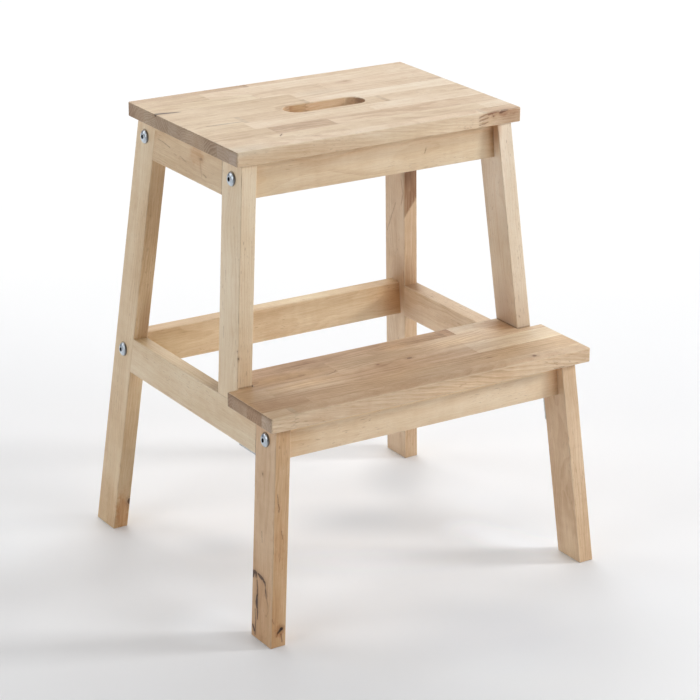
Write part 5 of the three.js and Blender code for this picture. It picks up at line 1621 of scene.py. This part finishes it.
# staves of the treads: (v0, v1, [(u0, tone, warm, pith, ring width, tilt), ...]), front row first
TOP_ROWS = [
    (0.0, 17.0, [(0, 0.37, 0.00, (3, -70), 4.6, (5.5, 0.8)), (305, 0.66, 0.10, (2, 30), 3.0, (0.5, 0.6))]),
    (17.0, 42.0, [(0, 0.45, -0.35, None, None, None), (322, 0.14, 0.00, None, None, None)]),
    (42.0, 68.5, [(0, 0.57, -0.80, None, None, None), (75, 0.85, -0.10, None, None, None), (148, 0.52, 0.10, None, None, None)]),
    (68.5, 95.0, [(0, 0.50, -0.85, None, None, None), (62, 0.38, -0.20, None, None, None), (214, 0.26, 0.10, None, None, None)]),
    (95.0, 121.0, [(0, 0.48, -0.80, None, None, None), (65, 0.52, -0.50, None, None, None), (243, 0.48, -0.10, None, None, None)]),
    (121.0, 147.5, [(0, 0.54, -0.70, None, None, None), (163, 0.18, 0.10, None, None, None)]),
    (147.5, 174.0, [(0, 0.59, -0.75, None, None, None), (166, 0.41, 0.00, None, None, None)]),
    (174.0, 199.0, [(0, 0.43, -0.90, None, None, None), (129, 0.54, -0.20, None, None, None), (216, 0.45, 0.20, None, None, None)]),
    (199.0, 224.5, [(0, 0.62, -0.65, None, None, None), (81, 0.32, 0.00, None, None, None)]),
    (224.5, 237.0, [(0, 0.81, 0.00, None, None, None), (140, 0.48, 0.15, None, None, None)]),
]
STEP_ROWS = [
    (0.0, 20.0, [(0, 0.46, -0.10, None, None, None), (28, 0.54, 0.10, (0, -130), 5.2, (10.0, 0.5))]),
    (20.0, 50.0, [(0, 0.76, 0.45, None, None, None), (61, 0.75, 0.10, None, None, None)]),
    (50.0, 80.5, [(0, 0.68, 0.10, None, None, None), (36, 0.60, 0.00, (14, 34), 4.0, (1.0, 0.5)), (291, 0.26, -0.10, None, None, None)]),
    (80.5, 110.5, [(0, 0.78, 0.20, None, None, None), (130, 0.63, 0.10, None, None, None)]),
    (110.5, 131.9, [(0, 0.82, 0.20, None, None, None), (285, 0.86, 0.80, None, None, None), (297, 0.22, -0.10, None, None, None)]),
]


def build_treads():
    x0, y0 = -TOP_L / 2, TOP_Y - TOP_D / 2
    glued_board("top_tread", [(x0, y0), (-x0, y0), (-x0, y0 + TOP_D), (x0, y0 + TOP_D)], TOP_UNDER, HEIGHT, TOP_ROWS, x0, y0, 1.1,
                [s for s in TREAD_SCREWS if s["tread"] == "top"], MAT["top_tread"], 11, slot_ease=1.2)
    h = STEP_L / 2
    glued_board("step_tread", [(-h, STEP_FRONT_Y), (h, STEP_FRONT_Y), (h, STEP_EAR_Y), (STEP_NOTCH_X, STEP_EAR_Y), (STEP_NOTCH_X, STEP_REAR_Y),
                               (-STEP_NOTCH_X, STEP_REAR_Y), (-STEP_NOTCH_X, STEP_EAR_Y), (-h, STEP_EAR_Y)],
                STEP_UNDER, STEP_UNDER + TREAD_T, STEP_ROWS, -h, STEP_FRONT_Y, 1.1,
                [s for s in TREAD_SCREWS if s["tread"] == "step"], MAT["step_tread"], 23)


def build_hardware():
    bolt, nut, screw, pan, dowel = bolt_mesh(), nut_mesh(), tread_screw_mesh(), pan_screw_mesh(), dowel_mesh()

    def put(name, me, at, along, roll, material):
        m = placed(me, at, along, roll)
        finish_metal(m, at, along)
        m.name = name
        return keep(name, m, name, material)

    for i, j in enumerate(JOINTS):
        turn = 0.35 + 0.83 * i
        put(f"bolt_{j['name']}", bolt, j["seat"] - j["inward"] * 0.03, -j["inward"], turn, MAT["bolt"])
        # the nut stands along Y, its cross bore along the bolt
        facing = Vector((0, j["nut_side"], 0))
        x = j["inward"].normalized()
        basis = Matrix((x, facing.cross(x), facing)).transposed().to_4x4()
        m = nut.copy()
        m.transform(Matrix.Translation(Vector((j["nut"].x, j["y"], j["nut"].z)) * 0.001) @ basis)
        finish_metal(m, Vector((j["nut"].x, j["y"], j["nut"].z)), facing)
        keep(f"barrel_nut_{j['name']}", m, f"barrel_nut_{j['name']}", MAT["hardware"])
        put(f"dowel_{j['name']}", dowel, j["dowel"], j["inward"], turn, MAT["dowel"])
    for i, s in enumerate(TREAD_SCREWS):
        put(s["name"], screw, s["head"], (0, 0, 1), 0.5 * i, MAT["hardware"])
    for side, word in ((-1, "left"), (1, "right")):
        me = bracket_mesh(side)
        finish_metal(me, fp(side, lower_rear(RAIL_UNDER_UP), RAIL_UNDER_UP, LEG_T / 2), up_of(side))
        keep(f"corner_bracket_{word}", me, f"corner_bracket_{word}", MAT["hardware"])
        for i, (name, at, along) in enumerate(bracket_screws(side)):
            put(f"bracket_screw_{word}_{name}", pan, at, along, 0.3 + 0.7 * i, MAT["hardware"])


build_boards()
build_treads()
build_hardware()


# ------------------------------------------------------------------ camera, light and floor
def make_camera():
    az, el, roll, f = math.radians(-32.613), math.radians(20.405), math.radians(0.520), 2521.144
    fwd = Vector((-math.sin(az) * math.cos(el), math.cos(az) * math.cos(el), -math.sin(el)))
    right = fwd.cross(Vector((0, 0, 1))).normalized()
    up = right.cross(fwd)
    r2 = right * math.cos(roll) + up * math.sin(roll)
    u2 = -right * math.sin(roll) + up * math.cos(roll)
    data = bpy.data.cameras.new("camera")
    data.sensor_width = 36.0
    data.sensor_fit = "AUTO"
    data.lens = f / 700.0 * 36.0
    data.clip_start, data.clip_end = 0.05, 60.0
    cam = bpy.data.objects.new("camera", data)
    bpy.context.scene.collection.objects.link(cam)
    m = Matrix((r2, u2, -fwd)).transposed().to_4x4()
    m.translation = Vector((-1405.97, -2213.16, 1203.93)) * 0.001
    cam.matrix_world = m
    bpy.context.scene.camera = cam


def area(name, at, to, size, power, colour=(1, 1, 1), size_y=None):
    d = bpy.data.lights.new(name, "AREA")
    d.shape = "RECTANGLE"
    d.size, d.size_y = size, size_y or size
    d.energy = power
    d.color = colour
    o = bpy.data.objects.new(name, d)
    bpy.context.scene.collection.objects.link(o)
    o.location = Vector(at)
    o.rotation_mode = "QUATERNION"
    o.rotation_quaternion = (Vector(to) - Vector(at)).to_track_quat("-Z", "Y")
    return o


def make_stage():
    bm = bmesh.new()
    n, r = 96, 30.0
    rings = [0.0, 0.6, 1.2, 2.4, 4.0, 6.5, 10.0, 18.0, r]
    rows = [[bm.verts.new((0, 0, 0))]] + [[bm.verts.new((q * math.cos(2 * math.pi * i / n), q * math.sin(2 * math.pi * i / n), 0)) for i in range(n)] for q in rings[1:]]
    for lo, hi in zip(rows, rows[1:]):
        for i in range(n):
            j = (i + 1) % n
            bm.faces.new(list(dict.fromkeys([lo[i % len(lo)], hi[i], hi[j], lo[j % len(lo)]])))
    me = mesh_of(bm, "floor")
    floor = link("floor", me)
    me.materials.append(MAT["floor"])
    floor.location.z = -0.0002

    scene = bpy.context.scene
    scene.view_settings.view_transform = "Standard"
    scene.view_settings.look = "None"
    scene.view_settings.exposure = 0.0
    scene.view_settings.gamma = 1.0
    world = bpy.data.worlds.new("studio")
    world.use_nodes = True
    bg = world.node_tree.nodes["Background"]
    bg.inputs["Color"].default_value = (1.0, 1.0, 1.0, 1)
    bg.inputs["Strength"].default_value = 0.05
    scene.world = world
    for spec in LIGHTS:
        area(*spec)


# name, place, aimed at, width (m), power (W), colour, height (m)
LIGHTS = [
    ("backdrop", (1.75, 2.7, 1.25), (0.0, 0.0, 0.5), 4.2, 19.0, (1.0, 1.0, 1.0), 1.9),
    ("overhead", (0.0, 0.1, 2.6), (0.0, 0.0, 0.2), 1.8, 10.0, (1.0, 1.0, 1.0), 1.8),
    ("overhead_rear", (0.4, 1.9, 2.3), (0.0, 0.0, 0.2), 1.8, 31.0, (1.0, 1.0, 1.0), 1.4),
    ("right_rear", (2.2, 1.3, 1.7), (0.0, 0.0, 0.25), 1.4, 8.0, (1.0, 1.0, 1.0), 1.4),
    ("right", (2.5, -1.35, 1.3), (0.0, 0.0, 0.25), 0.55, 42.0, (1.0, 1.0, 1.0), 0.5),
    ("front_right", (1.3, -2.5, 1.6), (0.0, 0.0, 0.25), 1.4, 26.0, (1.0, 1.0, 1.0), 1.4),
    ("left", (-2.6, -0.2, 1.4), (0.0, 0.0, 0.25), 1.6, 19.0, (1.0, 1.0, 1.0), 1.6),
    ("left_rear", (-1.7, 2.0, 1.7), (0.0, 0.0, 0.25), 1.4, 15.0, (1.0, 1.0, 1.0), 1.4),
]
make_camera()
make_stage()
